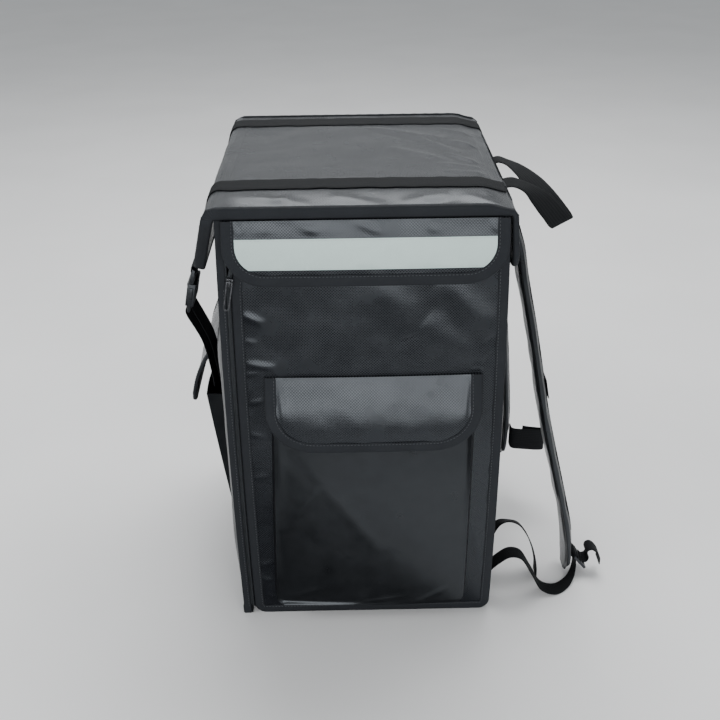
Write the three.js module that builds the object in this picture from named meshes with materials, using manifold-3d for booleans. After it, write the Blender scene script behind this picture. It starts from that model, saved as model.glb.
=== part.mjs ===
// Backpack cooler: a padded box-shaped case with a zipped door, a saddle lid held by webbing buckles,
// a flapped pocket on the door and on one side, and shoulder straps on the wearing side.
// Millimetres. +X is the wearing side, -Y is the door, +Z is up. The origin is the middle of the base.

import * as THREE from 'three';
import * as BufferGeometryUtils from 'three/addons/utils/BufferGeometryUtils.js';
import Module from 'manifold-3d';

const wasm = await Module();
wasm.setup();

// Case
const caseWidth = 350;
const caseDepth = 422;
const wallHeight = 594;
const wallThickness = 12;
const rearCornerRadius = 26;
const edgeBow = 4;
const sideCrown = 5;
const rearCrown = 4;
const baseThickness = 12;
const seamGap = 0.4;
const rowGap = 0.6;

// Cloth, ribbon and webbing stock
const clearance = 0.3;
const tapeThickness = 1;
const baseTapeWidth = 12;
const edgeTapeWidth = 9.5;
const doorTapeWidth = 12;
const flapTapeWidth = 14;
const pocketTapeWidth = 13;
const lidTapeWidth = 6;
const wideWebbing = 38;
const narrowWebbing = 25;
const webbingThickness = 1.5;

// Door and zip
const doorThickness = 12;
const doorCrown = 5;
const doorCornerRadius = 14;
const zipCornerRadius = 90;
const zipGap = 5;
const doorTopGap = 4;
const coilWidth = 3;
const coilThickness = 1.2;
const sliderWidth = 8;
const sliderLength = 11;
const sliderThickness = 3.4;
const sliderAngle = THREE.MathUtils.degToRad(10);
const bailOpening = 3;
const bailWire = 1.2;
const bailWidth = 2.4;
const bailPlace = 1.5;
const bailSink = 0.2;
const pullWidth = 8;
const pullLength = 38;
const pullThickness = 1.4;
const pullWire = 1.8;

// Lid
const lidThickness = 12;
const yokeThickness = 5;
const lidShoulder = 30;
const lidCrown = 2;
const lidFit = 2.1;
const lidSeat = 2;
const lidOverhang = 4;
const lidRearOverhang = 3;
const lidInnerRadius = 3;
const leftFlare = THREE.MathUtils.degToRad(15);
const rightFlare = THREE.MathUtils.degToRad(4);
const leftFlapDrop = 86;
const yokeDrop = 70;
const leftTaperFront = 50;
const leftTaperRear = 12;
const leftHemRadius = 22;
const yokeHemRadius = 28;
const frontWebbingY = -128;
const rearWebbingY = 168;

// Front flap
const flapInsetLeft = 9;
const flapInsetRight = 3;
const flapDrop = 80;
const flapCornerRadius = 50;
const flapThickness = 2.6;
const flapHang = 5;
const stripWidth = 38;
const stripRise = 20.5;
const stripThickness = 0.5;

// Front pocket
const pocketLeft = -129;
const pocketRight = 139;
const pocketBottom = 28;
const pocketTop = 345;
const pocketLean = 12;
const pocketDepthLow = 18;
const pocketDepthHigh = 9;
const pocketCrown = 3;
const pouchWall = 2;
const pouchTaper = 4;
const pocketCornerRadius = 14;
const pocketFlapShift = 6;
const pocketFlapTop = 386;
const pocketFlapBottom = 287;
const pocketFlapRadius = 58;
const pocketFlapThickness = 2.4;
const pocketFlapReach = 18;

// Side pocket
const sidePocketFront = -100;
const sidePocketRear = 140;
const sidePocketBottom = 84;
const sidePocketTop = 297;
const sidePocketDepth = 37;
const sidePocketLowShare = 0.34;
const sidePocketHemShare = 0.4;
const sidePocketRound = 24;
const sidePocketCorner = 14;
const sideFlapTop = 392;
const sideFlapOverlap = 3;
const sideFlapCurl = 0.8;
const sideFlapLength = 112;
const sideFlapReach = 52;
const sideFlapThickness = 2.4;
const sideFlapRadius = 30;

// Lid buckles
const buckleLean = THREE.MathUtils.degToRad(11);
const buckleWidth = 50;
const buckleBodyThickness = 11;
const buckleFrameThickness = 4;
const buckleBar = 4;
const buckleSlot = 4.6;
const maleBarStart = 5;
const maleBodyLength = 10;
const tongueLength = 24;
const tongueThickness = 5;
const femaleBodyLength = 31;
const buckleWall = 2.2;
const buckleGap = 0.5;
const slotEase = 1;
const tongueEase = 0.6;
const strapAnchorLow = 300;
const strapAnchorHigh = 324;
const strapTailStand = 4;
const frameLap = 2;
const webbingPastTape = 2;
const webbingTuck = 2;

// Wearing side
const strapSpacingFront = -125;
const strapSpacingRear = 100;
const strapWidth = 60;
const strapThickness = 12;
const strapGap = 0.8;
const strapPoint = 0.5;
const nearStrapReach = 112;
const nearStrapFoot = 10;
const farStrapReach = 46;
const farStrapFoot = 74;
const anchorDrop = 22;
const anchorWidth = 58;
const anchorBulge = 6;
const lockWidth = 33;
const lockLength = 26;
const lockThickness = 4;
const lockBar = 4;
const lockLean = THREE.MathUtils.degToRad(40);
const lockHang = 6;
const lockStand = 3;
const handleWidth = 38;
const handleThickness = 2;
const handleReach = 85;
const handleDrop = 60;
const handleFront = -76;
const handleRear = 62;
const handleDepth = 27;
const nearLoop = { reach: 140, spread: 50, rise: 67 };
const farLoop = { reach: 80, spread: 275, rise: 81 };
const chestTab = { reach: 119, spread: 206, rise: 114 };

// Short forms
const v2 = (x, y) => new THREE.Vector2(x, y);
const v3 = (x, y, z) => new THREE.Vector3(x, y, z);
const bell = (t) => Math.max(0, 1 - t * t);
const mix = THREE.MathUtils.lerp;
const ramp = THREE.MathUtils.smoothstep;
const range = (count) => Array.from({ length: count }, (_, i) => i);
// How far a hanging flap stands off, from nothing at its root to all of it over its last quarter
const bulge = (share) => Math.sin(THREE.MathUtils.clamp(share / 0.75, 0, 1) * Math.PI / 2) ** 1.15;
const tapeBuild = clearance + tapeThickness;
const coilLow = tapeBuild + clearance;
const coilTop = coilLow + coilThickness;

// Materials
const finish = (color, roughness, metalness = 0) => new THREE.MeshStandardMaterial({ color, roughness, metalness });
const coatedCloth = finish(0x24272c, 0.32);
const smoothCloth = finish(0x2b2e33, 0.42);
const ribbonTape = finish(0x383b3f, 0.8);
const webbingWeave = finish(0x2a2d30, 0.85);
const reflectiveTape = finish(0xb8c8c3, 0.45);
const buckleNylon = finish(0x1d1f22, 0.5);
const zipNylon = finish(0x1a1c1e, 0.6);
const paintedMetal = finish(0x303338, 0.4, 0.6);

const cooler = new THREE.Group();

function addPiece(name, geometry, material, parent = cooler) {
  const mesh = new THREE.Mesh(geometry, material);
  mesh.name = name;
  parent.add(mesh);
  return mesh;
}

// Closed solids from points and triangles, faces turned outwards
function closedGeometry(points, faces) {
  const volume = faces.reduce((sum, [a, b, c]) => sum + points[a].dot(points[b].clone().cross(points[c])), 0);
  const order = volume < 0 ? faces.map(([a, b, c]) => [a, c, b]) : faces;
  const geometry = new THREE.BufferGeometry();
  geometry.setAttribute('position', new THREE.Float32BufferAttribute(points.flatMap((p) => p.toArray()), 3));
  geometry.setIndex(order.flat());
  return geometry;
}

// A solid through rings of matching points. The flat profile only says how the two end caps are cut up.
function loft(rings, profile, closed = false) {
  const count = rings[0].length;
  const faces = [];
  const spans = closed ? rings.length : rings.length - 1;
  for (const i of range(spans)) {
    const here = i * count;
    const next = ((i + 1) % rings.length) * count;
    for (const j of range(count)) {
      const k = (j + 1) % count;
      faces.push([here + j, here + k, next + k], [here + j, next + k, next + j]);
    }
  }
  if (!closed) {
    const turn = Math.sign(THREE.ShapeUtils.area(profile));
    const last = (rings.length - 1) * count;
    for (const cut of THREE.ShapeUtils.triangulateShape(profile.slice(), [])) {
      const along = turn * Math.sign(THREE.ShapeUtils.area(cut.map((i) => profile[i])));
      const [a, b, c] = along > 0 ? cut : [cut[0], cut[2], cut[1]];
      faces.push([a, c, b], [last + a, last + b, last + c]);
    }
  }
  return closedGeometry(rings.flat(), faces);
}

const squareProfile = [v2(0, 0), v2(1, 0), v2(1, 1), v2(0, 1)];

// A panel outline on a surface: rows of v, each with its two limits in u, and rounded corners
function panel({ u0, u1, v0, v1, corners = {}, rows = [], steps = 6, leanStart = () => 0, leanEnd = () => 0 }) {
  const { startLow = 0, endLow = 0, startHigh = 0, endHigh = 0 } = corners;
  const inset = (radius, distance) => {
    const left = radius - distance;
    return left > 0 ? radius - Math.sqrt(Math.max(0, radius * radius - left * left)) : 0;
  };
  const arcSteps = (radius) => (radius > 40 ? 7 : 4);
  const arcRows = (radius) => range(arcSteps(radius) + 1)
    .map((i) => radius - radius * Math.sin((i / arcSteps(radius)) * Math.PI / 2));
  const kept = [v0, v1, ...rows];
  const add = (v) => {
    if (v > v0 && v < v1 && kept.every((other) => Math.abs(other - v) > rowGap)) kept.push(v);
  };
  for (const radius of [startLow, endLow]) arcRows(radius).forEach((d) => add(v0 + d));
  for (const radius of [startHigh, endHigh]) arcRows(radius).forEach((d) => add(v1 - d));
  const low = v0 + Math.max(startLow, endLow);
  const high = v1 - Math.max(startHigh, endHigh);
  range(steps + 1).forEach((i) => add(mix(low, high, i / steps)));
  return {
    rows: kept.sort((a, b) => a - b),
    start: (v) => u0 + leanStart(v) + inset(startLow, v - v0) + inset(startHigh, v1 - v),
    end: (v) => u1 - leanEnd(v) - inset(endLow, v - v0) - inset(endHigh, v1 - v),
  };
}

// The cloth of a panel: two faces at the given heights over a surface, joined round the rim
function panelSheet(outline, surface, low, high, across = 6) {
  const points = [];
  const faces = [];
  const rows = outline.rows.length;
  const id = (row, column, side) => (row * (across + 1) + column) * 2 + side;
  for (const v of outline.rows) {
    for (const column of range(across + 1)) {
      const u = mix(outline.start(v), outline.end(v), column / across);
      points.push(surface(u, v, low(u, v)), surface(u, v, high(u, v)));
    }
  }
  const quad = (a, b, c, d) => faces.push([a, b, c], [a, c, d]);
  for (const row of range(rows - 1)) {
    for (const column of range(across)) {
      const [a, b, c, d] = [[row, column], [row, column + 1], [row + 1, column + 1], [row + 1, column]];
      quad(id(...a, 1), id(...b, 1), id(...c, 1), id(...d, 1));
      quad(id(...a, 0), id(...d, 0), id(...c, 0), id(...b, 0));
    }
    quad(id(row, 0, 0), id(row, 0, 1), id(row + 1, 0, 1), id(row + 1, 0, 0));
    quad(id(row, across, 1), id(row, across, 0), id(row + 1, across, 0), id(row + 1, across, 1));
  }
  for (const column of range(across)) {
    quad(id(0, column, 0), id(0, column + 1, 0), id(0, column + 1, 1), id(0, column, 1));
    const end = rows - 1;
    quad(id(end, column, 1), id(end, column + 1, 1), id(end, column + 1, 0), id(end, column, 0));
  }
  return closedGeometry(points, faces);
}

// The rim of a panel as a path: down its start side, along the low edge, up its end side and,
// where it is closed, back along the high edge
function panelRim(outline, across = 6, closed = false) {
  const low = outline.rows[0];
  const high = outline.rows[outline.rows.length - 1];
  const between = range(across - 1).map((i) => (i + 1) / across);
  const path = [...outline.rows].reverse().map((v) => v2(outline.start(v), v));
  path.push(...between.map((t) => v2(mix(outline.start(low), outline.end(low), t), low)));
  path.push(...outline.rows.map((v) => v2(outline.end(v), v)));
  if (closed) path.push(...between.map((t) => v2(mix(outline.end(high), outline.start(high), t), high)));
  return path;
}

// Inward directions of a path, mitred where it turns
function inwardNormals(path, closed) {
  const last = path.length - 1;
  return path.map((point, i) => {
    const before = path[i === 0 ? (closed ? last : 0) : i - 1];
    const after = path[i === last ? (closed ? 0 : last) : i + 1];
    const sides = [[before, point], [point, after]].filter(([a, b]) => a !== b)
      .map(([a, b]) => b.clone().sub(a).normalize()).map((t) => v2(-t.y, t.x));
    const first = sides[0];
    const second = sides[sides.length - 1];
    return first.clone().add(second).divideScalar(1 + first.dot(second));
  });
}

// Ribbon folded round an edge: a channel section that follows the rim of a sheet
function edgeTape(path, surface, low, high, width, closed = false) {
  const normals = inwardNormals(path, closed);
  const section = (i) => {
    const at = (depth, side, offset) => {
      const p = path[i].clone().addScaledVector(normals[i], depth);
      const level = side > 0 ? high(p.x, p.y) : low(p.x, p.y);
      return surface(p.x, p.y, level + side * offset);
    };
    return [
      at(width, 1, tapeBuild), at(-tapeBuild, 1, tapeBuild), at(-tapeBuild, -1, tapeBuild), at(width, -1, tapeBuild),
      at(width, -1, clearance), at(-clearance, -1, clearance), at(-clearance, 1, clearance), at(width, 1, clearance),
    ];
  };
  const profile = [v2(4, 3), v2(0, 3), v2(0, 0), v2(4, 0), v2(4, 1), v2(1, 1), v2(1, 2), v2(4, 2)];
  return loft(path.map((_, i) => section(i)), profile, closed);
}

// Webbing along points of a plane of constant Y, with its width along Y, lifted where its bed is crowned
function planeWebbing(points, yCentre, width, lift = () => 0) {
  const normals = inwardNormals(points, false);
  const rings = points.map((p, i) => [[-1, -1], [1, -1], [1, 1], [-1, 1]].map(([side, face]) => {
    const q = p.clone().addScaledVector(normals[i], face * webbingThickness / 2);
    const y = yCentre + side * width / 2;
    return v3(q.x, y, q.y + lift(q.x, y));
  }));
  return loft(rings, squareProfile);
}

// Webbing through the air: rows of centre points with the direction of its width at each
function freeWebbing(rows, steps, thickness = webbingThickness) {
  const centres = new THREE.CatmullRomCurve3(rows.map((row) => row.at), false, 'centripetal');
  const widths = new THREE.CatmullRomCurve3(rows.map((row) => row.across));
  const rings = range(steps + 1).map((i) => {
    const t = i / steps;
    const centre = centres.getPoint(t);
    const across = widths.getPoint(t);
    const normal = centres.getTangent(t).cross(across).normalize().multiplyScalar(thickness / 2);
    return [[-1, -1], [1, -1], [1, 1], [-1, 1]].map(([side, face]) => (
      centre.clone().addScaledVector(across, side / 2).addScaledVector(normal, face)));
  });
  return loft(rings, squareProfile);
}

function toManifold(geometry) {
  const plain = geometry.clone();
  for (const name of Object.keys(plain.attributes)) if (name !== 'position') plain.deleteAttribute(name);
  const merged = BufferGeometryUtils.mergeVertices(plain, 1e-3);
  return new wasm.Manifold(new wasm.Mesh({
    numProp: 3,
    vertProperties: new Float32Array(merged.attributes.position.array),
    triVerts: new Uint32Array(merged.index.array),
  }));
}

function fromManifold(manifold) {
  const mesh = manifold.getMesh();
  const geometry = new THREE.BufferGeometry();
  geometry.setAttribute('position', new THREE.BufferAttribute(mesh.vertProperties.slice(), 3));
  geometry.setIndex(new THREE.BufferAttribute(mesh.triVerts.slice(), 1));
  return geometry;
}

function subtract(body, ...tools) {
  return fromManifold(tools.reduce((left, tool) => left.subtract(toManifold(tool)), toManifold(body)));
}

function join(...bodies) {
  return fromManifold(bodies.map(toManifold).reduce((sum, body) => sum.add(body)));
}

// Surfaces of the case. Heights stand off the cloth, outwards.
const heightBell = (z) => bell(2 * z / wallHeight - 1);
const bow = (z) => 1 + edgeBow / (caseWidth / 2) * heightBell(z);

function frontPoint(x, z, height) {
  const crown = doorCrown * bell(2 * x / caseWidth) * heightBell(z);
  return v3(x * bow(z), -caseDepth / 2 - crown - height, z);
}

function sideReach(y, z) {
  return caseWidth / 2 * bow(z) + sideCrown * bell(2 * y / caseDepth) * heightBell(z);
}

const leftPoint = (y, z, height) => v3(-sideReach(y, z) - height, y, z);

// The wrap of the left, rear and right walls in plan, with outward directions
function wrapPath(leftFront, rightFront) {
  const x = caseWidth / 2;
  const rear = caseDepth / 2;
  const r = rearCornerRadius;
  const path = range(6).map((i) => ({ at: v2(-x, mix(leftFront, rear - r, i / 6)), out: v2(-1, 0) }));
  const corner = (cx, from) => range(5).map((i) => {
    const angle = from - (i / 4) * Math.PI / 2;
    const out = v2(Math.cos(angle), Math.sin(angle));
    return { at: v2(cx, rear - r).addScaledVector(out, r), out };
  });
  path.push(...corner(-x + r, Math.PI));
  path.push(...range(4).map((i) => ({ at: v2(mix(-x + r, x - r, (i + 1) / 5), rear), out: v2(0, 1) })));
  path.push(...corner(x - r, Math.PI / 2));
  path.push(...range(6).map((i) => ({ at: v2(x, mix(rear - r, rightFront, (i + 1) / 6)), out: v2(1, 0) })));
  return path;
}

function wrapPoint({ at, out }, z, height) {
  const side = sideCrown * bell(2 * at.y / caseDepth) * heightBell(z) + height;
  const rear = rearCrown * bell(2 * at.x / caseWidth) * heightBell(z) + height;
  return v3(at.x * bow(z) + out.x * side, at.y + out.y * rear, z);
}

const doorBack = -caseDepth / 2 + doorThickness + tapeBuild + clearance;

function buildCase() {
  const walls = wrapPath(-caseDepth / 2, doorBack);
  const levels = range(7).map((i) => wallHeight * i / 6);
  const wallRing = (z) => [
    ...walls.map((q) => wrapPoint(q, z, 0)),
    ...[...walls].reverse().map((q) => wrapPoint(q, z, -wallThickness)),
  ];
  const flat = (ring) => ring.map((p) => v2(p.x, p.y));
  addPiece('body_shell', loft(levels.map(wallRing), flat(wallRing(0))), smoothCloth);

  const inside = wrapPath(doorBack, doorBack);
  const baseRing = (z) => inside.map((q) => wrapPoint(q, z, -wallThickness - seamGap));
  addPiece('base_panel', loft([baseRing(0), baseRing(baseThickness)], flat(baseRing(0))), smoothCloth);

  const band = walls.map((q) => [
    wrapPoint(q, clearance, clearance), wrapPoint(q, baseTapeWidth, clearance),
    wrapPoint(q, baseTapeWidth, tapeBuild), wrapPoint(q, clearance, tapeBuild),
  ]);
  addPiece('base_binding', loft(band, squareProfile), ribbonTape);

  const edge = panel({
    u0: -caseWidth / 2, u1: -caseWidth / 2 + edgeTapeWidth,
    v0: clearance, v1: wallHeight - clearance, steps: 8,
  });
  addPiece('front_edge_binding', panelSheet(edge, frontPoint, () => clearance, () => tapeBuild, 1), ribbonTape);
}

// Door, hinged by its cloth on the wearing side and zipped along its left and top edges
const doorOutline = panel({
  u0: -(caseWidth / 2 - wallThickness - zipGap),
  u1: caseWidth / 2 - tapeBuild,
  v0: tapeBuild + clearance,
  v1: wallHeight - doorTopGap,
  corners: {
    startLow: doorCornerRadius, endLow: doorCornerRadius, endHigh: doorCornerRadius, startHigh: zipCornerRadius,
  },
  steps: 5,
});

// The zip follows the door's left side, its large corner and its top edge
function zipPath(offset) {
  const rim = panelRim(doorOutline, 6, true);
  const normals = inwardNormals(rim, true);
  const low = doorOutline.rows[0] + doorCornerRadius;
  const middle = (doorOutline.start(wallHeight / 2) + doorOutline.end(wallHeight / 2)) / 2;
  const top = doorOutline.rows[doorOutline.rows.length - 1];
  const kept = range(rim.length).filter((i) => (
    (rim[i].x < middle && rim[i].y > low - 1) || rim[i].y > top - 1));
  const left = kept.filter((i) => rim[i].x < middle && rim[i].y < top - 1).reverse();
  const head = kept.filter((i) => rim[i].y > top - 1).sort((a, b) => rim[a].x - rim[b].x);
  return [...left, ...head].map((i) => ({
    at: rim[i].clone().addScaledVector(normals[i], -offset),
    out: normals[i].clone().negate(),
  }));
}

function buildDoor() {
  const back = () => -doorThickness;
  const face = () => 0;
  addPiece('door_panel', panelSheet(doorOutline, frontPoint, back, face), coatedCloth);
  const rim = panelRim(doorOutline, 6, true);
  addPiece('door_binding', edgeTape(rim, frontPoint, back, face, doorTapeWidth, true), ribbonTape);

  const tapeLeft = -caseWidth / 2 + edgeTapeWidth + clearance;
  const tapeTop = wallHeight - clearance;
  const tapeRings = zipPath(tapeBuild + clearance).map(({ at, out }) => {
    const toLeft = out.x < -1e-6 ? (tapeLeft - at.x) / out.x : Infinity;
    const toTop = out.y > 1e-6 ? (tapeTop - at.y) / out.y : Infinity;
    const far = at.clone().addScaledVector(out, Math.min(toLeft, toTop));
    const [low, high] = [clearance, tapeBuild];
    return [frontPoint(at.x, at.y, low), frontPoint(far.x, far.y, low),
      frontPoint(far.x, far.y, high), frontPoint(at.x, at.y, high)];
  });
  addPiece('zip_tape', loft(tapeRings, squareProfile), zipNylon);

  const inner = zipPath(coilLow);
  const outer = zipPath(coilLow + coilWidth);
  const coilRings = inner.map(({ at }, i) => {
    const far = outer[i].at;
    return [frontPoint(at.x, at.y, coilLow), frontPoint(far.x, far.y, coilLow),
      frontPoint(far.x, far.y, coilTop), frontPoint(at.x, at.y, coilTop)];
  });
  addPiece('zip_coil', loft(coilRings, squareProfile), zipNylon);
}

// Slider on the coil just below the front flap, and the wire pull that hangs in its bail
function buildZipPull() {
  const top = doorOutline.rows[doorOutline.rows.length - 1];
  const centre = v2(doorOutline.start(wallHeight / 2) + zipCornerRadius, top - zipCornerRadius);
  const radius = zipCornerRadius + coilLow + coilWidth / 2;
  const spot = v2(centre.x - radius * Math.cos(sliderAngle), centre.y + radius * Math.sin(sliderAngle));
  const slider = new THREE.Group();
  slider.position.copy(frontPoint(spot.x, spot.y, coilTop + clearance));
  slider.rotation.y = sliderAngle;
  cooler.add(slider);

  // In this group -Y stands off the door and -Z runs down the zip
  const box = (width, depth, height, y, z) => new THREE.BoxGeometry(width, depth, height).translate(0, y, z);
  const postOffset = (bailOpening + bailWire) / 2;
  const postDepth = bailOpening + bailWire;
  const postY = -sliderThickness - postDepth / 2 + bailSink;
  const body = box(sliderWidth, sliderThickness, sliderLength, -sliderThickness / 2, 0);
  const upperPost = box(bailWidth, postDepth, bailWire, postY, bailPlace + postOffset);
  const lowerPost = box(bailWidth, postDepth, bailWire, postY, bailPlace - postOffset);
  const bridgeY = -sliderThickness - bailOpening - bailWire / 2 + bailSink;
  const bridge = box(bailWidth, bailWire, bailOpening + 2 * bailWire, bridgeY, bailPlace);
  addPiece('zip_slider', join(body, upperPost, lowerPost, bridge), paintedMetal, slider);

  // The top wire of the pull lies in the bail, and its sides hang past it
  const half = pullWidth / 2;
  const wireHalf = pullWire / 2;
  const low = -pullLength + half;
  const outline = new THREE.Shape();
  outline.moveTo(-half, wireHalf);
  outline.lineTo(-half, low);
  outline.absarc(0, low, half, Math.PI, 2 * Math.PI, false);
  outline.lineTo(half, wireHalf);
  outline.closePath();
  const slot = new THREE.Path();
  const inner = half - pullWire;
  slot.moveTo(-inner, -wireHalf);
  slot.lineTo(inner, -wireHalf);
  slot.lineTo(inner, low);
  slot.absarc(0, low, inner, 0, -Math.PI, true);
  slot.closePath();
  outline.holes.push(slot);
  const plate = new THREE.ExtrudeGeometry(outline, { depth: pullThickness, bevelEnabled: false, curveSegments: 5 });
  plate.rotateX(Math.PI / 2);
  plate.translate(0, pullThickness / 2, 0);
  const pull = addPiece('zip_pull', plate, paintedMetal, slider);
  pull.position.set(0, -sliderThickness - bailOpening / 2, bailPlace);
}

// The lid's section at a distance along it from the middle of the top, positive towards the wearing side
const lidInner = wallHeight + lidSeat;
const lidFlat = caseWidth / 2 + lidFit - lidInnerRadius;
const flare = (s) => (s < 0 ? leftFlare : rightFlare);
const lidArcEnd = (s) => lidFlat + lidInnerRadius * (Math.PI / 2 - flare(s));

function lidFrame(s) {
  const side = Math.sign(s);
  const along = Math.abs(s);
  const turn = THREE.MathUtils.clamp((along - lidFlat) / lidInnerRadius, 0, Math.PI / 2 - flare(s));
  const run = Math.max(0, along - lidArcEnd(s));
  const x = Math.min(along, lidFlat) + lidInnerRadius * Math.sin(turn) + run * Math.cos(turn);
  const z = lidInner - lidInnerRadius * (1 - Math.cos(turn)) - run * Math.sin(turn);
  return { at: v2(side * x, z), out: v2(side * Math.sin(turn), Math.cos(turn)) };
}

const lidLift = (x, y) => lidCrown * bell(2 * x / caseWidth) * bell(2 * y / caseDepth);

function lidPoint(y, s, height) {
  const { at, out } = lidFrame(s);
  const p = at.addScaledVector(out, height);
  return v3(p.x, y, p.y + lidLift(p.x, y));
}

// Distance along the lid to a drop below the end of its corner
const lidRun = (side, drop) => side * (lidArcEnd(side) + drop / Math.cos(flare(side)));
const yokeRows = [0.5, 0.65, 0.8, 1].map((share) => mix(lidFlat, lidArcEnd(1), share));
const upperYoke = yokeRows[0];
const leftHem = lidRun(-1, leftFlapDrop);
const yokeHem = lidRun(1, yokeDrop);
// The padding thins over the shoulder to the plain cloth of the yoke
const lidPad = (s) => mix(lidThickness, yokeThickness, ramp(s, lidFlat - lidShoulder, lidArcEnd(1)));
const shoulderRows = [0.5, 1].map((share) => lidFlat - lidShoulder * share);
const webbingOn = (s) => lidPad(s) + clearance + webbingThickness / 2;
const webbingHeight = webbingOn(0);
const webbingOverTape = lidThickness + tapeBuild + clearance + webbingThickness / 2;

function buildLid() {
  const arcRows = (side) => range(4).map((i) => side * mix(lidFlat, lidArcEnd(side), i / 3));
  const taperTop = lidRun(-1, lidTapeWidth);
  const taper = (s) => Math.max(0, (taperTop - s) / (taperTop - leftHem));
  const outline = panel({
    u0: -caseDepth / 2 - lidOverhang,
    u1: caseDepth / 2 + lidRearOverhang,
    v0: leftHem,
    v1: yokeHem,
    corners: { startLow: leftHemRadius, endLow: leftHemRadius, startHigh: yokeHemRadius, endHigh: leftHemRadius },
    rows: [...arcRows(-1), ...arcRows(1), ...shoulderRows, taperTop],
    steps: 5,
    leanStart: (s) => leftTaperFront * taper(s),
    leanEnd: (s) => leftTaperRear * taper(s),
  });
  const inner = () => 0;
  const outer = (y, s) => lidPad(s);
  addPiece('lid', panelSheet(outline, lidPoint, inner, outer), coatedCloth);
  const rim = panelRim(outline, 6, true);
  addPiece('lid_binding', edgeTape(rim, lidPoint, inner, outer, lidTapeWidth, true), ribbonTape);
}

// Lid webbing and buckles. In a buckle's frame Y runs down it and Z stands off it, from the lid's hem.
const buckleOut = v3(-Math.cos(buckleLean), 0, Math.sin(buckleLean));
const buckleDown = v3(-Math.sin(buckleLean), 0, -Math.cos(buckleLean));
const hemPoint = lidPoint(0, leftHem, webbingHeight);
const inBuckle = (down, out) => {
  const p = hemPoint.clone().addScaledVector(buckleDown, down).addScaledVector(buckleOut, out);
  return v2(p.x, p.z);
};
const loopRadius = buckleFrameThickness / 2 + clearance * 2 + webbingThickness / 2;
const maleBarEnd = maleBarStart + buckleBar;
const maleBody = maleBarEnd + buckleSlot;
const maleEnd = maleBody + maleBodyLength;
const femaleStart = maleEnd + buckleGap;
const femaleEnd = femaleStart + femaleBodyLength;
const femaleBar = femaleEnd + buckleSlot;

// Points of webbing turned round the edge of a bar, from one face of the bar to the other
const turnRound = (edge, way, from) => range(7).map((i) => {
  const angle = (i / 6) * Math.PI;
  return inBuckle(edge + way * loopRadius * Math.sin(angle), from * loopRadius * Math.cos(angle));
});

function frameWithSlot(width, y0, slotStart, length) {
  const frame = new THREE.BoxGeometry(width, length, buckleFrameThickness).translate(0, y0 + length / 2, 0);
  const slotWidth = wideWebbing + 2 * slotEase;
  const slot = new THREE.BoxGeometry(slotWidth, buckleSlot, 2 * buckleFrameThickness);
  return [frame, slot.translate(0, slotStart + buckleSlot / 2, 0)];
}

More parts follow.
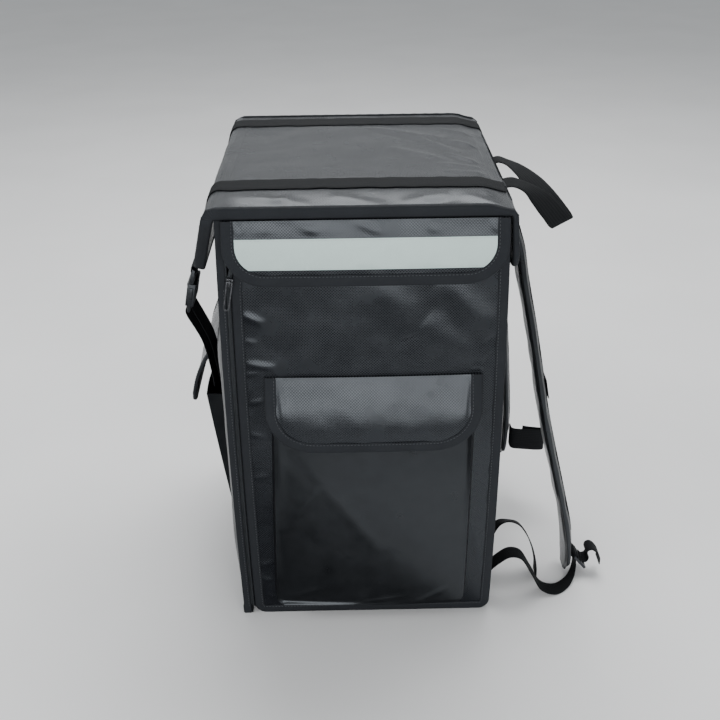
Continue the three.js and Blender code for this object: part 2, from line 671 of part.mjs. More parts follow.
function buildBuckle(place, y, webbingEnd) {
  const group = new THREE.Group();
  group.applyMatrix4(new THREE.Matrix4().makeBasis(v3(0, 1, 0), buckleDown, buckleOut));
  group.position.copy(hemPoint).setY(y);
  cooler.add(group);

  const [maleFrame, maleSlot] = frameWithSlot(buckleWidth, maleBarStart, maleBarEnd, maleEnd - maleBarStart);
  const tongueWidth = buckleWidth - 2 * buckleWall - 2 * tongueEase;
  const tongue = new THREE.BoxGeometry(tongueWidth, tongueLength + 1, tongueThickness);
  tongue.translate(0, maleEnd + tongueLength / 2 - 0.5, 0);
  addPiece(`buckle_male_${place}`, subtract(join(maleFrame, tongue), maleSlot), buckleNylon, group);

  const sleeve = new THREE.BoxGeometry(buckleWidth, femaleBodyLength, buckleBodyThickness);
  sleeve.translate(0, femaleStart + femaleBodyLength / 2, 0);
  const tailLength = frameLap + buckleSlot + buckleBar;
  const [femaleFrame, femaleSlot] = frameWithSlot(buckleWidth, femaleEnd - frameLap, femaleEnd, tailLength);
  const cavityDepth = tongueLength + 2 * tongueEase;
  const cavity = new THREE.BoxGeometry(buckleWidth - 2 * buckleWall, cavityDepth, tongueThickness + 2 * tongueEase);
  cavity.translate(0, femaleStart - buckleGap + cavityDepth / 2, 0);
  addPiece(`buckle_female_${place}`, subtract(join(sleeve, femaleFrame), femaleSlot, cavity), buckleNylon, group);

  const onLid = (s, height) => lidFrame(s).at.addScaledVector(lidFrame(s).out, height);
  const arc = range(5).map((i) => mix(lidFlat, lidArcEnd(-1), i / 4));
  const rightArc = range(5).map((i) => mix(lidArcEnd(1), lidFlat, i / 4));
  const overYoke = webbingEnd > lidArcEnd(1) ? [webbingEnd, ...rightArc] : [webbingEnd, lidFlat];
  const flatEnd = shoulderRows[shoulderRows.length - 1];
  const overTape = lidTapeWidth + webbingPastTape;
  const topPath = [
    ...[...overYoke, ...shoulderRows].map((s) => onLid(s, webbingOn(s))),
    ...range(6).map((i) => onLid(mix(flatEnd, -lidFlat, (i + 1) / 7), webbingHeight)),
    ...arc.map((s) => onLid(-s, webbingHeight)),
    onLid(leftHem + 2 * overTape, webbingHeight),
    onLid(leftHem + overTape, webbingOverTape),
    onLid(leftHem - 1, webbingOverTape),
    inBuckle(maleBarStart - 1, loopRadius),
    ...turnRound(maleBarEnd, 1, 1),
    inBuckle(maleBarStart - webbingTuck, -loopRadius),
  ];
  addPiece(`top_webbing_${place}`, planeWebbing(topPath, y, wideWebbing, lidLift), webbingWeave);

  // The lower strap is sewn to the wall, turns round the female bar and hangs as a tail outside it
  const edges = [y - wideWebbing / 2, y + wideWebbing / 2];
  const reach = Math.max(...edges.map((edge) => sideReach(edge, strapAnchorHigh)));
  const wall = -reach - clearance - webbingThickness / 2;
  const barEnd = inBuckle(femaleBar + buckleBar, 0);
  const drop = barEnd.y - strapAnchorHigh;
  const swell = barEnd.x - wall;
  const away = (share, down, stand = 0) => v2(wall + swell * share - stand, strapAnchorHigh + drop * (1 - down));
  const strapPath = [
    v2(wall, strapAnchorLow),
    v2(wall, strapAnchorHigh),
    away(0.2, 0.78),
    away(0.42, 0.36),
    ...turnRound(femaleBar, -1, -1),
    inBuckle(femaleBar + buckleBar + 3, loopRadius + 0.4),
    away(0.56, 0.36, strapTailStand),
    away(0.34, 0.76, strapTailStand),
    away(0.3, 0.9, strapTailStand),
  ];
  addPiece(`buckle_strap_${place}`, planeWebbing(strapPath, y, wideWebbing), webbingWeave);
}

// Flap over the top of the door, with its reflective strip
const flapTop = lidInner - tapeBuild - clearance;
const flapLeft = -caseWidth / 2 + flapInsetLeft;
const flapRight = caseWidth / 2 - flapInsetRight;
const flapBottom = flapTop - flapDrop;
const flapLow = (x, z) => coilTop + 2 * clearance + tapeBuild + flapHang * bulge((flapTop - z) / flapDrop);
const flapHigh = (x, z) => flapLow(x, z) + flapThickness;

function buildFrontFlap() {
  const outline = panel({
    u0: flapLeft, u1: flapRight, v0: flapBottom, v1: flapTop,
    corners: { startLow: flapCornerRadius, endLow: flapCornerRadius }, steps: 3,
  });
  addPiece('front_flap', panelSheet(outline, frontPoint, flapLow, flapHigh), coatedCloth);
  const rim = panelRim(outline);
  addPiece('front_flap_binding', edgeTape(rim, frontPoint, flapLow, flapHigh, flapTapeWidth), ribbonTape);

  const inset = flapTapeWidth + 2 * clearance;
  const within = panel({
    u0: flapLeft + inset, u1: flapRight - inset, v0: flapBottom + inset, v1: flapTop,
    corners: { startLow: flapCornerRadius - inset, endLow: flapCornerRadius - inset },
  });
  const stripLow = flapBottom + stripRise;
  const strip = { ...within, rows: range(7).map((i) => mix(stripLow, stripLow + stripWidth, i / 6)) };
  const under = (x, z) => flapHigh(x, z) + clearance;
  const over = (x, z) => under(x, z) + stripThickness;
  addPiece('reflective_strip', panelSheet(strip, frontPoint, under, over), reflectiveTape);
}

// An open-topped pouch on a surface: its outer form less the space inside and the cloth behind it
function pouch(area, surface, depth, rows, radius) {
  const middle = (area.u0 + area.u1) / 2;
  const half = (area.u1 - area.u0) / 2;
  const leaning = (u, v, height) => {
    const share = THREE.MathUtils.clamp(height / depth(u, v), 0, 1);
    return surface(middle + (u - middle) * (1 - pouchTaper / half * share), v, height);
  };
  const outer = panel({ ...area, corners: { startLow: radius, endLow: radius }, rows, steps: 5 });
  const inner = panel({
    ...area, u0: area.u0 + pouchWall, u1: area.u1 - pouchWall, v0: area.v0 + pouchWall, v1: area.v1 + pouchWall,
    corners: { startLow: radius - pouchWall, endLow: radius - pouchWall }, rows, steps: 5,
  });
  const shell = panelSheet(outer, leaning, () => clearance, depth);
  const inside = (u, v) => depth(u, v) - pouchWall;
  return subtract(shell, panelSheet(inner, leaning, () => -pouchWall, inside));
}

const pocketMiddle = (pocketLeft + pocketRight) / 2;
const pocketHalf = (pocketRight - pocketLeft) / 2;

function pocketDepth(x, z) {
  const rise = THREE.MathUtils.clamp((z - pocketBottom) / (pocketTop - pocketBottom), 0, 1);
  const swell = pocketCrown * bell((x - pocketMiddle) / pocketHalf);
  return mix(pocketDepthLow, pocketDepthHigh, rise) + swell;
}

function buildFrontPocket() {
  const leanStart = (z) => pocketLean * (z - pocketBottom) / (pocketTop - pocketBottom);
  const area = { u0: pocketLeft, u1: pocketRight, v0: pocketBottom, v1: pocketTop, leanStart };
  addPiece('pocket_body', pouch(area, frontPoint, pocketDepth, [], pocketCornerRadius), smoothCloth);

  const outline = panel({
    u0: pocketLeft + pocketFlapShift, u1: pocketRight + pocketFlapShift, v0: pocketFlapBottom, v1: pocketFlapTop,
    corners: { startLow: pocketFlapRadius, endLow: pocketFlapRadius },
    rows: range(5).map((i) => mix(pocketTop, pocketFlapTop, i / 4)), steps: 2,
  });
  const seat = tapeBuild + clearance;
  const low = (x, z) => seat + pocketFlapReach * bulge((pocketFlapTop - z) / (pocketFlapTop - pocketFlapBottom));
  const high = (x, z) => low(x, z) + pocketFlapThickness;
  addPiece('pocket_flap', panelSheet(outline, frontPoint, low, high), coatedCloth);
  const rim = panelRim(outline);
  addPiece('pocket_flap_binding', edgeTape(rim, frontPoint, low, high, pocketTapeWidth), ribbonTape);
}

function sidePocketSwell(y, z) {
  const rise = THREE.MathUtils.clamp((z - sidePocketBottom) / (sidePocketTop - sidePocketBottom), 0, 1);
  const turn = THREE.MathUtils.clamp((z - sidePocketBottom) / sidePocketRound, 0, 1);
  const round = Math.sqrt(1 - (1 - turn) * (1 - turn));
  return sidePocketDepth * mix(sidePocketLowShare, 1, rise) * mix(sidePocketHemShare, 1, round);
}

function buildSidePocket() {
  const area = { u0: sidePocketFront, u1: sidePocketRear, v0: sidePocketBottom, v1: sidePocketTop };
  const rows = range(5).map((i) => sidePocketBottom + sidePocketRound * (i / 4) ** 2);
  addPiece('side_pocket', pouch(area, leftPoint, sidePocketSwell, rows, sidePocketCorner), smoothCloth);

  const low = (y, z) => {
    const share = THREE.MathUtils.clamp((sideFlapTop - z) / sideFlapLength, 0, 1);
    return tapeBuild + clearance + sideFlapReach * Math.sin(share * Math.PI / 2) ** sideFlapCurl;
  };
  const high = (y, z) => low(y, z) + sideFlapThickness;
  const outline = panel({
    u0: sidePocketFront - sideFlapOverlap, u1: sidePocketRear + sideFlapOverlap,
    v0: sideFlapTop - sideFlapLength, v1: sideFlapTop,
    corners: { startLow: sideFlapRadius, endLow: sideFlapRadius },
    rows: range(4).map((i) => sideFlapTop - sideFlapRadius * (i / 3) ** 2), steps: 5,
  });
  addPiece('side_pocket_flap', panelSheet(outline, leftPoint, low, high), coatedCloth);
  const rim = panelRim(outline);
  addPiece('side_flap_binding', edgeTape(rim, leftPoint, low, high, pocketTapeWidth), ribbonTape);
}

// Shoulder straps: columns give the way out from the yoke and the height as shares of reach and length,
// then the padding as a share of its full thickness
const nearStrapShape = [
  { out: 0, up: 1, pad: 0.55 }, { out: 0.05, up: 0.957, pad: 0.75 }, { out: 0.1, up: 0.915, pad: 1 },
  { out: 0.168, up: 0.842, pad: 1 }, { out: 0.31, up: 0.712, pad: 1 }, { out: 0.443, up: 0.577, pad: 1 },
  { out: 0.548, up: 0.471, pad: 1 }, { out: 0.691, up: 0.353, pad: 1 }, { out: 0.849, up: 0.226, pad: 1 },
  { out: 0.949, up: 0.138, pad: 1 }, { out: 1, up: 0.048, pad: 0.8 }, { out: 0.985, up: 0, pad: 0.45 },
];
const farStrapShape = [
  { out: 0, up: 1, pad: 0.55 }, { out: 0.13, up: 0.941, pad: 0.75 }, { out: 0.24, up: 0.891, pad: 1 },
  { out: 0.37, up: 0.811, pad: 1 }, { out: 0.54, up: 0.651, pad: 1 }, { out: 0.74, up: 0.465, pad: 1 },
  { out: 0.86, up: 0.338, pad: 1 }, { out: 1, up: 0.138, pad: 1 }, { out: 0.98, up: 0.042, pad: 0.8 },
  { out: 0.92, up: 0, pad: 0.45 },
];
// A strap's section as shares of half its width and half its padding
const strapSection = [[-1, -0.4], [-0.92, -1], [0.92, -1], [1, -0.4], [1, 0.4], [0.92, 1], [-0.92, 1], [-1, 0.4]];
const anchorLowRun = lidRun(1, anchorDrop - lidInnerRadius);
const strapStart = lidPoint(0, anchorLowRun, lidPad(anchorLowRun) + clearance * 2 + strapThickness * 0.3);

function strapLine(shape, reach, foot) {
  const top = strapStart.z - strapGap;
  const curve = new THREE.CatmullRomCurve3(shape.map((row) => (
    v3(strapStart.x + reach * row.out, row.pad * strapThickness, mix(foot, top, row.up)))));
  return range(25).map((i) => curve.getPoint(i / 24));
}

function buildStrap(place, y, shape, reach, foot) {
  const line = strapLine(shape, reach, foot);
  const path = line.map((p) => v2(p.x, p.z));
  const normals = inwardNormals(path, false);
  const length = line.length - 1;
  const rings = line.map((p, i) => {
    const half = strapWidth / 2 * (1 - strapPoint * ramp(i / length, 0.92, 1));
    const pad = p.y / 2;
    return strapSection.map(([side, face]) => {
      const q = path[i].clone().addScaledVector(normals[i], face * pad);
      return v3(q.x, y + side * half, q.y);
    });
  });
  const profile = [v2(0, 1), v2(1, 0), v2(5, 0), v2(6, 1), v2(6, 2), v2(5, 3), v2(1, 3), v2(0, 2)];
  addPiece(`shoulder_strap_${place}`, loft(rings, profile), smoothCloth);

  // Webbing down the outer face of the strap
  const onFace = (from, to, stand) => range(to - from + 1).map((i) => (
    path[from + i].clone().addScaledVector(normals[from + i], line[from + i].y / 2 + stand)));
  const webbingStand = clearance + webbingThickness / 2;
  const webbing = onFace(2, 20, webbingStand);
  addPiece(`strap_webbing_${place}`, planeWebbing(webbing, y, narrowWebbing), webbingWeave);

  const anchor = panel({
    u0: y - anchorWidth / 2, u1: y + anchorWidth / 2, v0: upperYoke, v1: anchorLowRun,
    rows: yokeRows, steps: 2,
  });
  const under = (u, s) => lidPad(s) + clearance;
  const over = (u, s) => under(u, s) + mix(webbingThickness, anchorBulge, ramp(s, upperYoke, anchorLowRun));
  addPiece(`strap_anchor_${place}`, panelSheet(anchor, lidPoint, under, over, 3), coatedCloth);
  return { onFace, webbingStand };
}

// The tail comes out of the lower slot of the lock over its bar and hangs in a small curl: distances down
// from the slot and out from the webbing in it
const tailCurl = [
  [-5, 0], [1, 0.3], [3, 5], [-1, 11], [-6, 12], [-11, 17], [-9, 23], [0, 25], [11, 23], [20, 16],
];

function buildWearingSide() {
  const near = buildStrap('near', strapSpacingFront, nearStrapShape, nearStrapReach, nearStrapFoot);
  buildStrap('far', strapSpacingRear, farStrapShape, farStrapReach, farStrapFoot);
  const keeperStand = near.webbingStand + webbingThickness + clearance;
  const keeper = near.onFace(11, 12, keeperStand);
  addPiece('strap_keeper_near', planeWebbing(keeper, strapSpacingFront, wideWebbing), webbingWeave);

  // The tab below the strap webbing turns round the top bar of the ladder lock
  const tabStart = near.onFace(21, 22, near.webbingStand);
  const lockDown = v2(Math.sin(lockLean), -Math.cos(lockLean));
  const lockOut = v2(Math.cos(lockLean), Math.sin(lockLean));
  const lockTop = tabStart[1].clone().addScaledVector(lockDown, lockHang).addScaledVector(lockOut, lockStand);
  const inLock = (down, out) => lockTop.clone().addScaledVector(lockDown, down).addScaledVector(lockOut, out);
  const turn = lockThickness / 2 + 2 * clearance + webbingThickness / 2;
  const tab = [
    ...tabStart,
    ...range(7).map((i) => inLock(lockBar + turn * Math.sin(i / 6 * Math.PI), -turn * Math.cos(i / 6 * Math.PI))),
    inLock(-3, turn),
  ];
  addPiece('strap_tab_near', planeWebbing(tab, strapSpacingFront, narrowWebbing), webbingWeave);

  const lock = new THREE.Group();
  lock.applyMatrix4(new THREE.Matrix4().makeBasis(
    v3(0, 1, 0), v3(lockDown.x, 0, lockDown.y), v3(-lockOut.x, 0, -lockOut.y)));
  lock.position.set(lockTop.x, strapSpacingFront, lockTop.y);
  cooler.add(lock);
  const plate = new THREE.BoxGeometry(lockWidth, lockLength, lockThickness).translate(0, lockLength / 2, 0);
  const slotAt = (down) => new THREE.BoxGeometry(narrowWebbing + 2 * slotEase, buckleSlot, 3 * lockThickness)
    .translate(0, down + buckleSlot / 2, 0);
  const lowSlot = lockLength - lockBar - buckleSlot;
  addPiece('ladder_lock_near', subtract(plate, slotAt(lockBar), slotAt(lowSlot)), buckleNylon, lock);

  const tail = tailCurl.map(([down, out]) => inLock(lowSlot + down, turn + out));
  addPiece('webbing_tail_near', planeWebbing(tail, strapSpacingFront, narrowWebbing), webbingWeave);
}

// Loose webbing: shares of each loop's reach from the wall, spread from the near strap and rise from the
// ground, then the way its width lies
function lying(loop, width, rows) {
  return rows.map(([out, along, up, ...across]) => ({
    at: v3(caseWidth / 2 + loop.reach * out, strapSpacingFront + loop.spread * along, loop.rise * up),
    across: v3(...across).normalize().multiplyScalar(width),
  }));
}

function buildLooseWebbing() {
  const near = lying(nearLoop, narrowWebbing, [
    [0.016, -0.8, 0.22, 0, 1, 0], [0.021, -0.8, 0.51, 0, 1, 0], [0.14, -0.86, 0.85, 0, 1, 0],
    [0.24, -0.9, 1, 0, 1, 0], [0.343, -0.9, 0.948, 0, 1, 0], [0.461, -0.94, 0.56, 0, 1, 0],
    [0.579, -1.02, 0.15, 0, 1, 0], [0.729, -1, 0.027, 0, 1, 0], [0.871, -0.72, 0.036, 0, 1, 0],
    [0.957, -0.36, 0.104, 0, 1, 0], [0.993, -0.08, 0.224, 0, 1, 0], [0.996, 0, 0.328, 0, 1, 0],
  ]);
  addPiece('lower_webbing_near', freeWebbing(near, 26), webbingWeave);

  const far = lying(farLoop, narrowWebbing, [
    [0.034, 1, 0.32, 0, 0, -1], [0.058, 0.855, 0.32, 0, 0, -1], [0.188, 0.6, 0.247, 0, 0, -1],
    [0.2, 0.345, 0.222, 0, 0, -1], [0.175, 0.164, 0.272, 0, -0.5, -0.85], [0.163, 0.076, 0.519, 0, -1, -0.3],
    [0.213, 0.055, 0.79, 0, -1, 0], [0.325, 0.047, 0.963, 0, -0.95, 0.3], [0.475, 0.044, 1, 0, -0.89, 0.46],
    [0.663, 0.04, 0.944, 0, -0.92, 0.4], [0.825, 0.029, 0.741, 0, -0.95, 0.3],
    [0.95, 0.011, 0.444, 0, -0.98, 0.2], [1, -0.018, 0.185, 0, -1, 0], [0.988, -0.047, 0.037, 0, -1, 0],
  ]);
  addPiece('lower_webbing_far', freeWebbing(far, 30), webbingWeave);

  const tab = lying(chestTab, wideWebbing, [
    [0.555, 1, 1, 0, 0, -1], [0.571, 0.932, 1, 0, 0, -1], [0.756, 0.903, 1, 0, 0, -1],
    [0.975, 0.893, 1, 0, 0, -1], [1, 0.908, 1, 0, 0, -1], [0.966, 0.922, 1, 0, 0, -1],
    [0.824, 0.932, 1.018, 0, 0.1, -1], [0.706, 0.942, 1.044, 0, 0.2, -1],
  ]);
  addPiece('chest_tab_far', freeWebbing(tab, 18), webbingWeave);
}

// The grab handle: shares of its reach, of its width along the yoke and of its drop, and its own width
function buildHandle() {
  const base = panel({
    u0: handleFront, u1: handleRear, v0: upperYoke, v1: lidRun(1, handleDepth), rows: yokeRows, steps: 2,
  });
  const under = (u, s) => lidPad(s) + clearance;
  const over = (u, s) => under(u, s) + webbingThickness;
  addPiece('handle_base', panelSheet(base, lidPoint, under, over, 3), webbingWeave);

  const rootRun = lidRun(1, handleDepth / 2 - 2);
  const root = lidPoint(0, rootRun, over(0, rootRun) + clearance);
  const rear = handleRear - handleFront;
  const station = (out, along, up, across) => ({
    at: v3(root.x + handleReach * out, handleFront + rear * along, root.z + handleDrop * up),
    across: v3(...across).multiplyScalar(handleWidth),
  });
  const stations = [
    station(0, 0.13, 0.02, [0, 0.7, 0.1]), station(0.11, 0.14, 0.04, [0.25, 0.85, 0.09]),
    station(0.25, 0.15, 0, [0.36, 0.95, -0.04]), station(0.45, 0.165, -0.14, [0.56, 0.94, -0.09]),
    station(0.66, 0.18, -0.4, [0.8, 0.92, 0.04]), station(0.96, 0.19, -0.9, [0.9, 0.78, 0.12]),
    station(1.02, 0.225, -0.98, [0.9, 0.78, 0.12]), station(0.98, 0.26, -0.88, [0.9, 0.78, 0.12]),
    station(0.76, 0.34, -0.47, [0.82, 0.9, 0.1]), station(0.56, 0.5, -0.19, [0.7, 1, 0.02]),
    station(0.38, 0.66, -0.03, [0.4, 1.05, -0.02]), station(0.22, 0.78, 0.05, [0.18, 1.02, -0.1]),
    station(0.1, 0.85, 0.07, [0.1, 0.95, -0.05]), station(0, 0.87, 0.02, [0, 0.75, 0]),
  ];
  addPiece('grab_handle', freeWebbing(stations, 30, handleThickness), webbingWeave);
}

cooler.name = 'backpack_cooler';
buildCase();
buildDoor();
buildZipPull();
buildLid();
buildBuckle('front', frontWebbingY, upperYoke - 1);
buildBuckle('rear', rearWebbingY, yokeHem - lidTapeWidth - 1);
buildFrontFlap();
buildFrontPocket();
buildSidePocket();
buildWearingSide();
buildLooseWebbing();
buildHandle();

export default cooler;
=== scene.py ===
"""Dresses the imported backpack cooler: cloth, ribbon, webbing, zip, buckles, floor, light and camera."""

import logging
import math
from dataclasses import dataclass
from enum import Enum
from typing import Callable, Sequence

import bmesh
import bpy
import numpy as np
from mathutils import Matrix, Vector


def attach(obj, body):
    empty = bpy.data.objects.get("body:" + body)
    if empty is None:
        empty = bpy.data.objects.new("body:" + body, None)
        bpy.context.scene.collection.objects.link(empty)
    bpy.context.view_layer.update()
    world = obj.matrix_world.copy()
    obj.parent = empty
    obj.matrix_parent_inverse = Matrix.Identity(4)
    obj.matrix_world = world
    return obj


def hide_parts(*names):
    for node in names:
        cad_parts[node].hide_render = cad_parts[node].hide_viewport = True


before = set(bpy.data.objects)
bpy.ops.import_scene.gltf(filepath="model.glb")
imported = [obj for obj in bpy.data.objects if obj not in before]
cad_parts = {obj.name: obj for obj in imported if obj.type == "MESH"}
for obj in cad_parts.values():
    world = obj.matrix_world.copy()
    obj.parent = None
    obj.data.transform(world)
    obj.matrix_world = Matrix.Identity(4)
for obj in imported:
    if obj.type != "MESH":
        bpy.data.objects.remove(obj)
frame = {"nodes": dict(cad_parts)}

LOG = logging.getLogger("backpack_cooler")
MM = 0.001
BODY = "pack"
PULL_BODY = "zip_pull"

Array = np.ndarray
Surface = Callable[[Array, Array, Array], Array]
Height = Callable[[Array, Array], Array]
Colour = tuple[float, float, float]
Thing = bpy.types.Object
Finish = bpy.types.Material
Socket = bpy.types.NodeSocket


class Slot(Enum):
    """Material slots of the pieces."""

    COATED = "coated_cloth"
    SMOOTH = "smooth_cloth"
    RIBBON = "ribbon"
    WEBBING = "webbing"
    REFLECTIVE = "reflective"
    PLASTIC = "buckle_plastic"
    NYLON = "zip_nylon"
    METAL = "zip_metal"


def bell(share: Array) -> Array:
    """Return the crown of a stretched panel: one in the middle and nothing at the edges."""
    return np.maximum(0.0, 1.0 - share * share)


def ease(share: Array) -> Array:
    """Return a smooth step from nought to one."""
    clipped = np.clip(share, 0.0, 1.0)
    return clipped * clipped * (3.0 - 2.0 * clipped)


def straight(v: Array) -> Array:
    """Return no lean at any height."""
    return 0.0 * v


def bulge(share: Array) -> Array:
    """Return how far a hanging flap stands off, from nought at its root to one over its last quarter."""
    return np.sin(np.clip(share / 0.75, 0.0, 1.0) * math.pi / 2) ** 1.15


def stack(x: Array, y: Array, z: Array) -> Array:
    """Return points from their three coordinates, spread to one shape."""
    return np.stack(np.broadcast_arrays(x, y, z), axis=-1).astype(float)


def ripple(u: Array, v: Array, size: float, rise: float, seed: int) -> Array:
    """Return slow random waves of cloth.

    Args:
        u: First coordinate on the flat cloth, in metres.
        v: Second coordinate on the flat cloth, in metres.
        size: Typical length of a wave.
        rise: Typical height of a wave.
        seed: Seed of the random draws.

    Returns:
        The height of the waves at each point.
    """
    rng = np.random.default_rng(seed)
    total = np.zeros(np.broadcast(u, v).shape)
    waves = 11
    for _ in range(waves):
        angle = rng.uniform(0.0, math.pi)
        length = size * rng.uniform(0.55, 1.9)
        phase = rng.uniform(0.0, 2.0 * math.pi)
        along = u * math.cos(angle) + v * math.sin(angle)
        total += np.sin(2.0 * math.pi * along / length + phase) * length / size
    return rise * total / math.sqrt(waves)


def distances(line: Array) -> Array:
    """Return how far along a line each of its points is."""
    return np.concatenate([[0.0], np.cumsum(np.linalg.norm(np.diff(line, axis=0), axis=1))])


def restep(line: Array, count: int) -> Array:
    """Return a flat line with a number of points, spread evenly over its old ones."""
    new, old = np.linspace(0, 1, count), np.linspace(0, 1, len(line))
    return np.column_stack([np.interp(new, old, line[:, i]) for i in (0, 1)])


@dataclass(frozen=True)
class Crease:
    """A soft fold of the cloth between two points of its own flat plane, in millimetres."""

    start: tuple[float, float]
    end: tuple[float, float]
    width: float
    rise: float

    def height(self, u: Array, v: Array) -> Array:
        """Return the height of the fold at points given in metres."""
        first = np.array(self.start) * MM
        step = np.array(self.end) * MM - first
        share = ((u - first[0]) * step[0] + (v - first[1]) * step[1]) / float(step @ step)
        near = np.clip(share, 0.0, 1.0)
        away = np.hypot(u - first[0] - near * step[0], v - first[1] - near * step[1])
        fade = np.sin(np.clip(share, 0.0, 1.0) * math.pi) ** 0.6
        return self.rise * MM * fade * np.exp(-(away / (self.width * MM)) ** 2)


def pleats(*rows: Sequence[float]) -> tuple[Crease, ...]:
    """Return creases from rows of start, end, width and rise."""
    return tuple(Crease((row[0], row[1]), (row[2], row[3]), row[4], row[5]) for row in rows)


def folds(creases: Sequence[Crease], u: Array, v: Array) -> Array:
    """Return the sum of a list of creases."""
    return sum((crease.height(u, v) for crease in creases), np.zeros(np.broadcast(u, v).shape))


@dataclass(frozen=True)
class Case:
    """Shape of the padded case, as its solids have it."""

    width: float = 350 * MM
    depth: float = 422 * MM
    height: float = 594 * MM
    wall: float = 12 * MM
    corner: float = 26 * MM
    edge_bow: float = 4 * MM
    side_crown: float = 5 * MM
    rear_crown: float = 4 * MM
    door_crown: float = 5 * MM
    door_thickness: float = 12 * MM

    def swell(self, z: Array) -> Array:
        """Return the crown of the walls over their height."""
        return bell(2.0 * z / self.height - 1.0)

    def bow(self, z: Array) -> Array:
        """Return the factor by which the case is wider at a height."""
        return 1.0 + self.edge_bow / (self.width / 2) * self.swell(z)

    def front(self, x: Array, z: Array, height: Array) -> Array:
        """Return points over the door's face."""
        crown = self.door_crown * bell(2.0 * x / self.width) * self.swell(z)
        return stack(x * self.bow(z), -self.depth / 2 - crown - height, z)

    def side_reach(self, y: Array, z: Array) -> Array:
        """Return how far the side walls stand from the middle plane."""
        return self.width / 2 * self.bow(z) + self.side_crown * bell(2.0 * y / self.depth) * self.swell(z)

    def left(self, y: Array, z: Array, height: Array) -> Array:
        """Return points over the left wall's face."""
        return stack(-self.side_reach(y, z) - height, y, z)

    @property
    def door_back(self) -> float:
        """Return where the right wall ends behind the door."""
        return -self.depth / 2 + self.door_thickness + 1.6 * MM

    @property
    def wrap_length(self) -> float:
        """Return the length of the wrap of left, rear and right walls."""
        turn = self.corner * math.pi / 2
        rear = self.depth / 2 - self.corner
        return (rear + self.depth / 2) + turn + (self.width - 2 * self.corner) + turn + (rear - self.door_back)

    def wrap(self, along: Array, z: Array, height: Array) -> Array:
        """Return points over the wrap of the walls, from the left wall's front end round to the right."""
        half, rear, r = self.width / 2, self.depth / 2, self.corner
        turn = r * math.pi / 2
        side = 2 * rear - r
        back = self.width - 2 * r
        marks = [0.0, side, side + turn, side + turn + back, side + 2 * turn + back]
        first = np.clip((along - marks[1]) / r, 0.0, math.pi / 2)
        second = np.clip((along - marks[3]) / r, 0.0, math.pi / 2)
        angle = math.pi - first - second
        out_x, out_y = np.cos(angle), np.sin(angle)
        centre_x = np.where(along < marks[2], -half + r, half - r)
        on_back = (along > marks[2]) & (along < marks[3])
        x = np.where(on_back, -half + r + (along - marks[2]), centre_x + r * out_x)
        y = rear - r + r * out_y
        y = np.where(along < marks[1], -rear + along, y)
        y = np.where(along > marks[4], rear - r - (along - marks[4]), y)
        push_side = self.side_crown * bell(2.0 * y / self.depth) * self.swell(z) + height
        push_rear = self.rear_crown * bell(2.0 * x / self.width) * self.swell(z) + height
        return stack(x * self.bow(z) + out_x * push_side, y + out_y * push_rear, z)


@dataclass(frozen=True)
class LidShape:
    """Section of the saddle lid, measured along its inner face from the middle of the top."""

    case: Case
    thickness: float = 12 * MM
    yoke: float = 5 * MM
    shoulder: float = 30 * MM
    seat: float = 2 * MM
    fit: float = 2.1 * MM
    radius: float = 3 * MM
    crown: float = 2 * MM
    left_flare: float = math.radians(15)
    right_flare: float = math.radians(4)

    @property
    def inner(self) -> float:
        """Return the height of the lid's inner face."""
        return self.case.height + self.seat

    @property
    def upper(self) -> float:
        """Return the middle of the right corner, where what is sewn to the yoke starts."""
        return self.flat + (self.arc_end(1) - self.flat) / 2

    @property
    def flat(self) -> float:
        """Return half the width of the flat top."""
        return self.case.width / 2 + self.fit - self.radius

    def arc_end(self, side: int) -> float:
        """Return the distance to the end of the corner on one side."""
        flare = self.left_flare if side < 0 else self.right_flare
        return self.flat + self.radius * (math.pi / 2 - flare)

    def run(self, side: int, drop: float) -> float:
        """Return the distance along the lid to a drop below its corner."""
        flare = self.left_flare if side < 0 else self.right_flare
        return side * (self.arc_end(side) + drop / math.cos(flare))

    def pad(self, s: Array) -> Array:
        """Return the thickness, which thins over the shoulder to the plain cloth of the yoke."""
        rise = ease((s - self.flat + self.shoulder) / (self.arc_end(1) - self.flat + self.shoulder))
        return self.thickness + (self.yoke - self.thickness) * rise

    def face(self, y: Array, s: Array) -> Array:
        """Return the height of the lid's outer face."""
        return self.pad(s)

    def point(self, y: Array, s: Array, height: Array) -> Array:
        """Return points over the lid's inner face, at a distance s along its section."""
        side = np.where(s < 0, -1.0, 1.0)
        along = np.abs(s)
        limit = np.where(s < 0, math.pi / 2 - self.left_flare, math.pi / 2 - self.right_flare)
        turn = np.clip((along - self.flat) / self.radius, 0.0, limit)
        run = np.maximum(0.0, along - self.flat - self.radius * limit)
        x = np.minimum(along, self.flat) + self.radius * np.sin(turn) + run * np.cos(turn)
        z = self.inner - self.radius * (1.0 - np.cos(turn)) - run * np.sin(turn)
        x = side * (x + np.sin(turn) * height)
        z = z + np.cos(turn) * height
        lift = self.crown * bell(2.0 * x / self.case.width) * bell(2.0 * y / self.case.depth)
        return stack(x, y, z + lift)


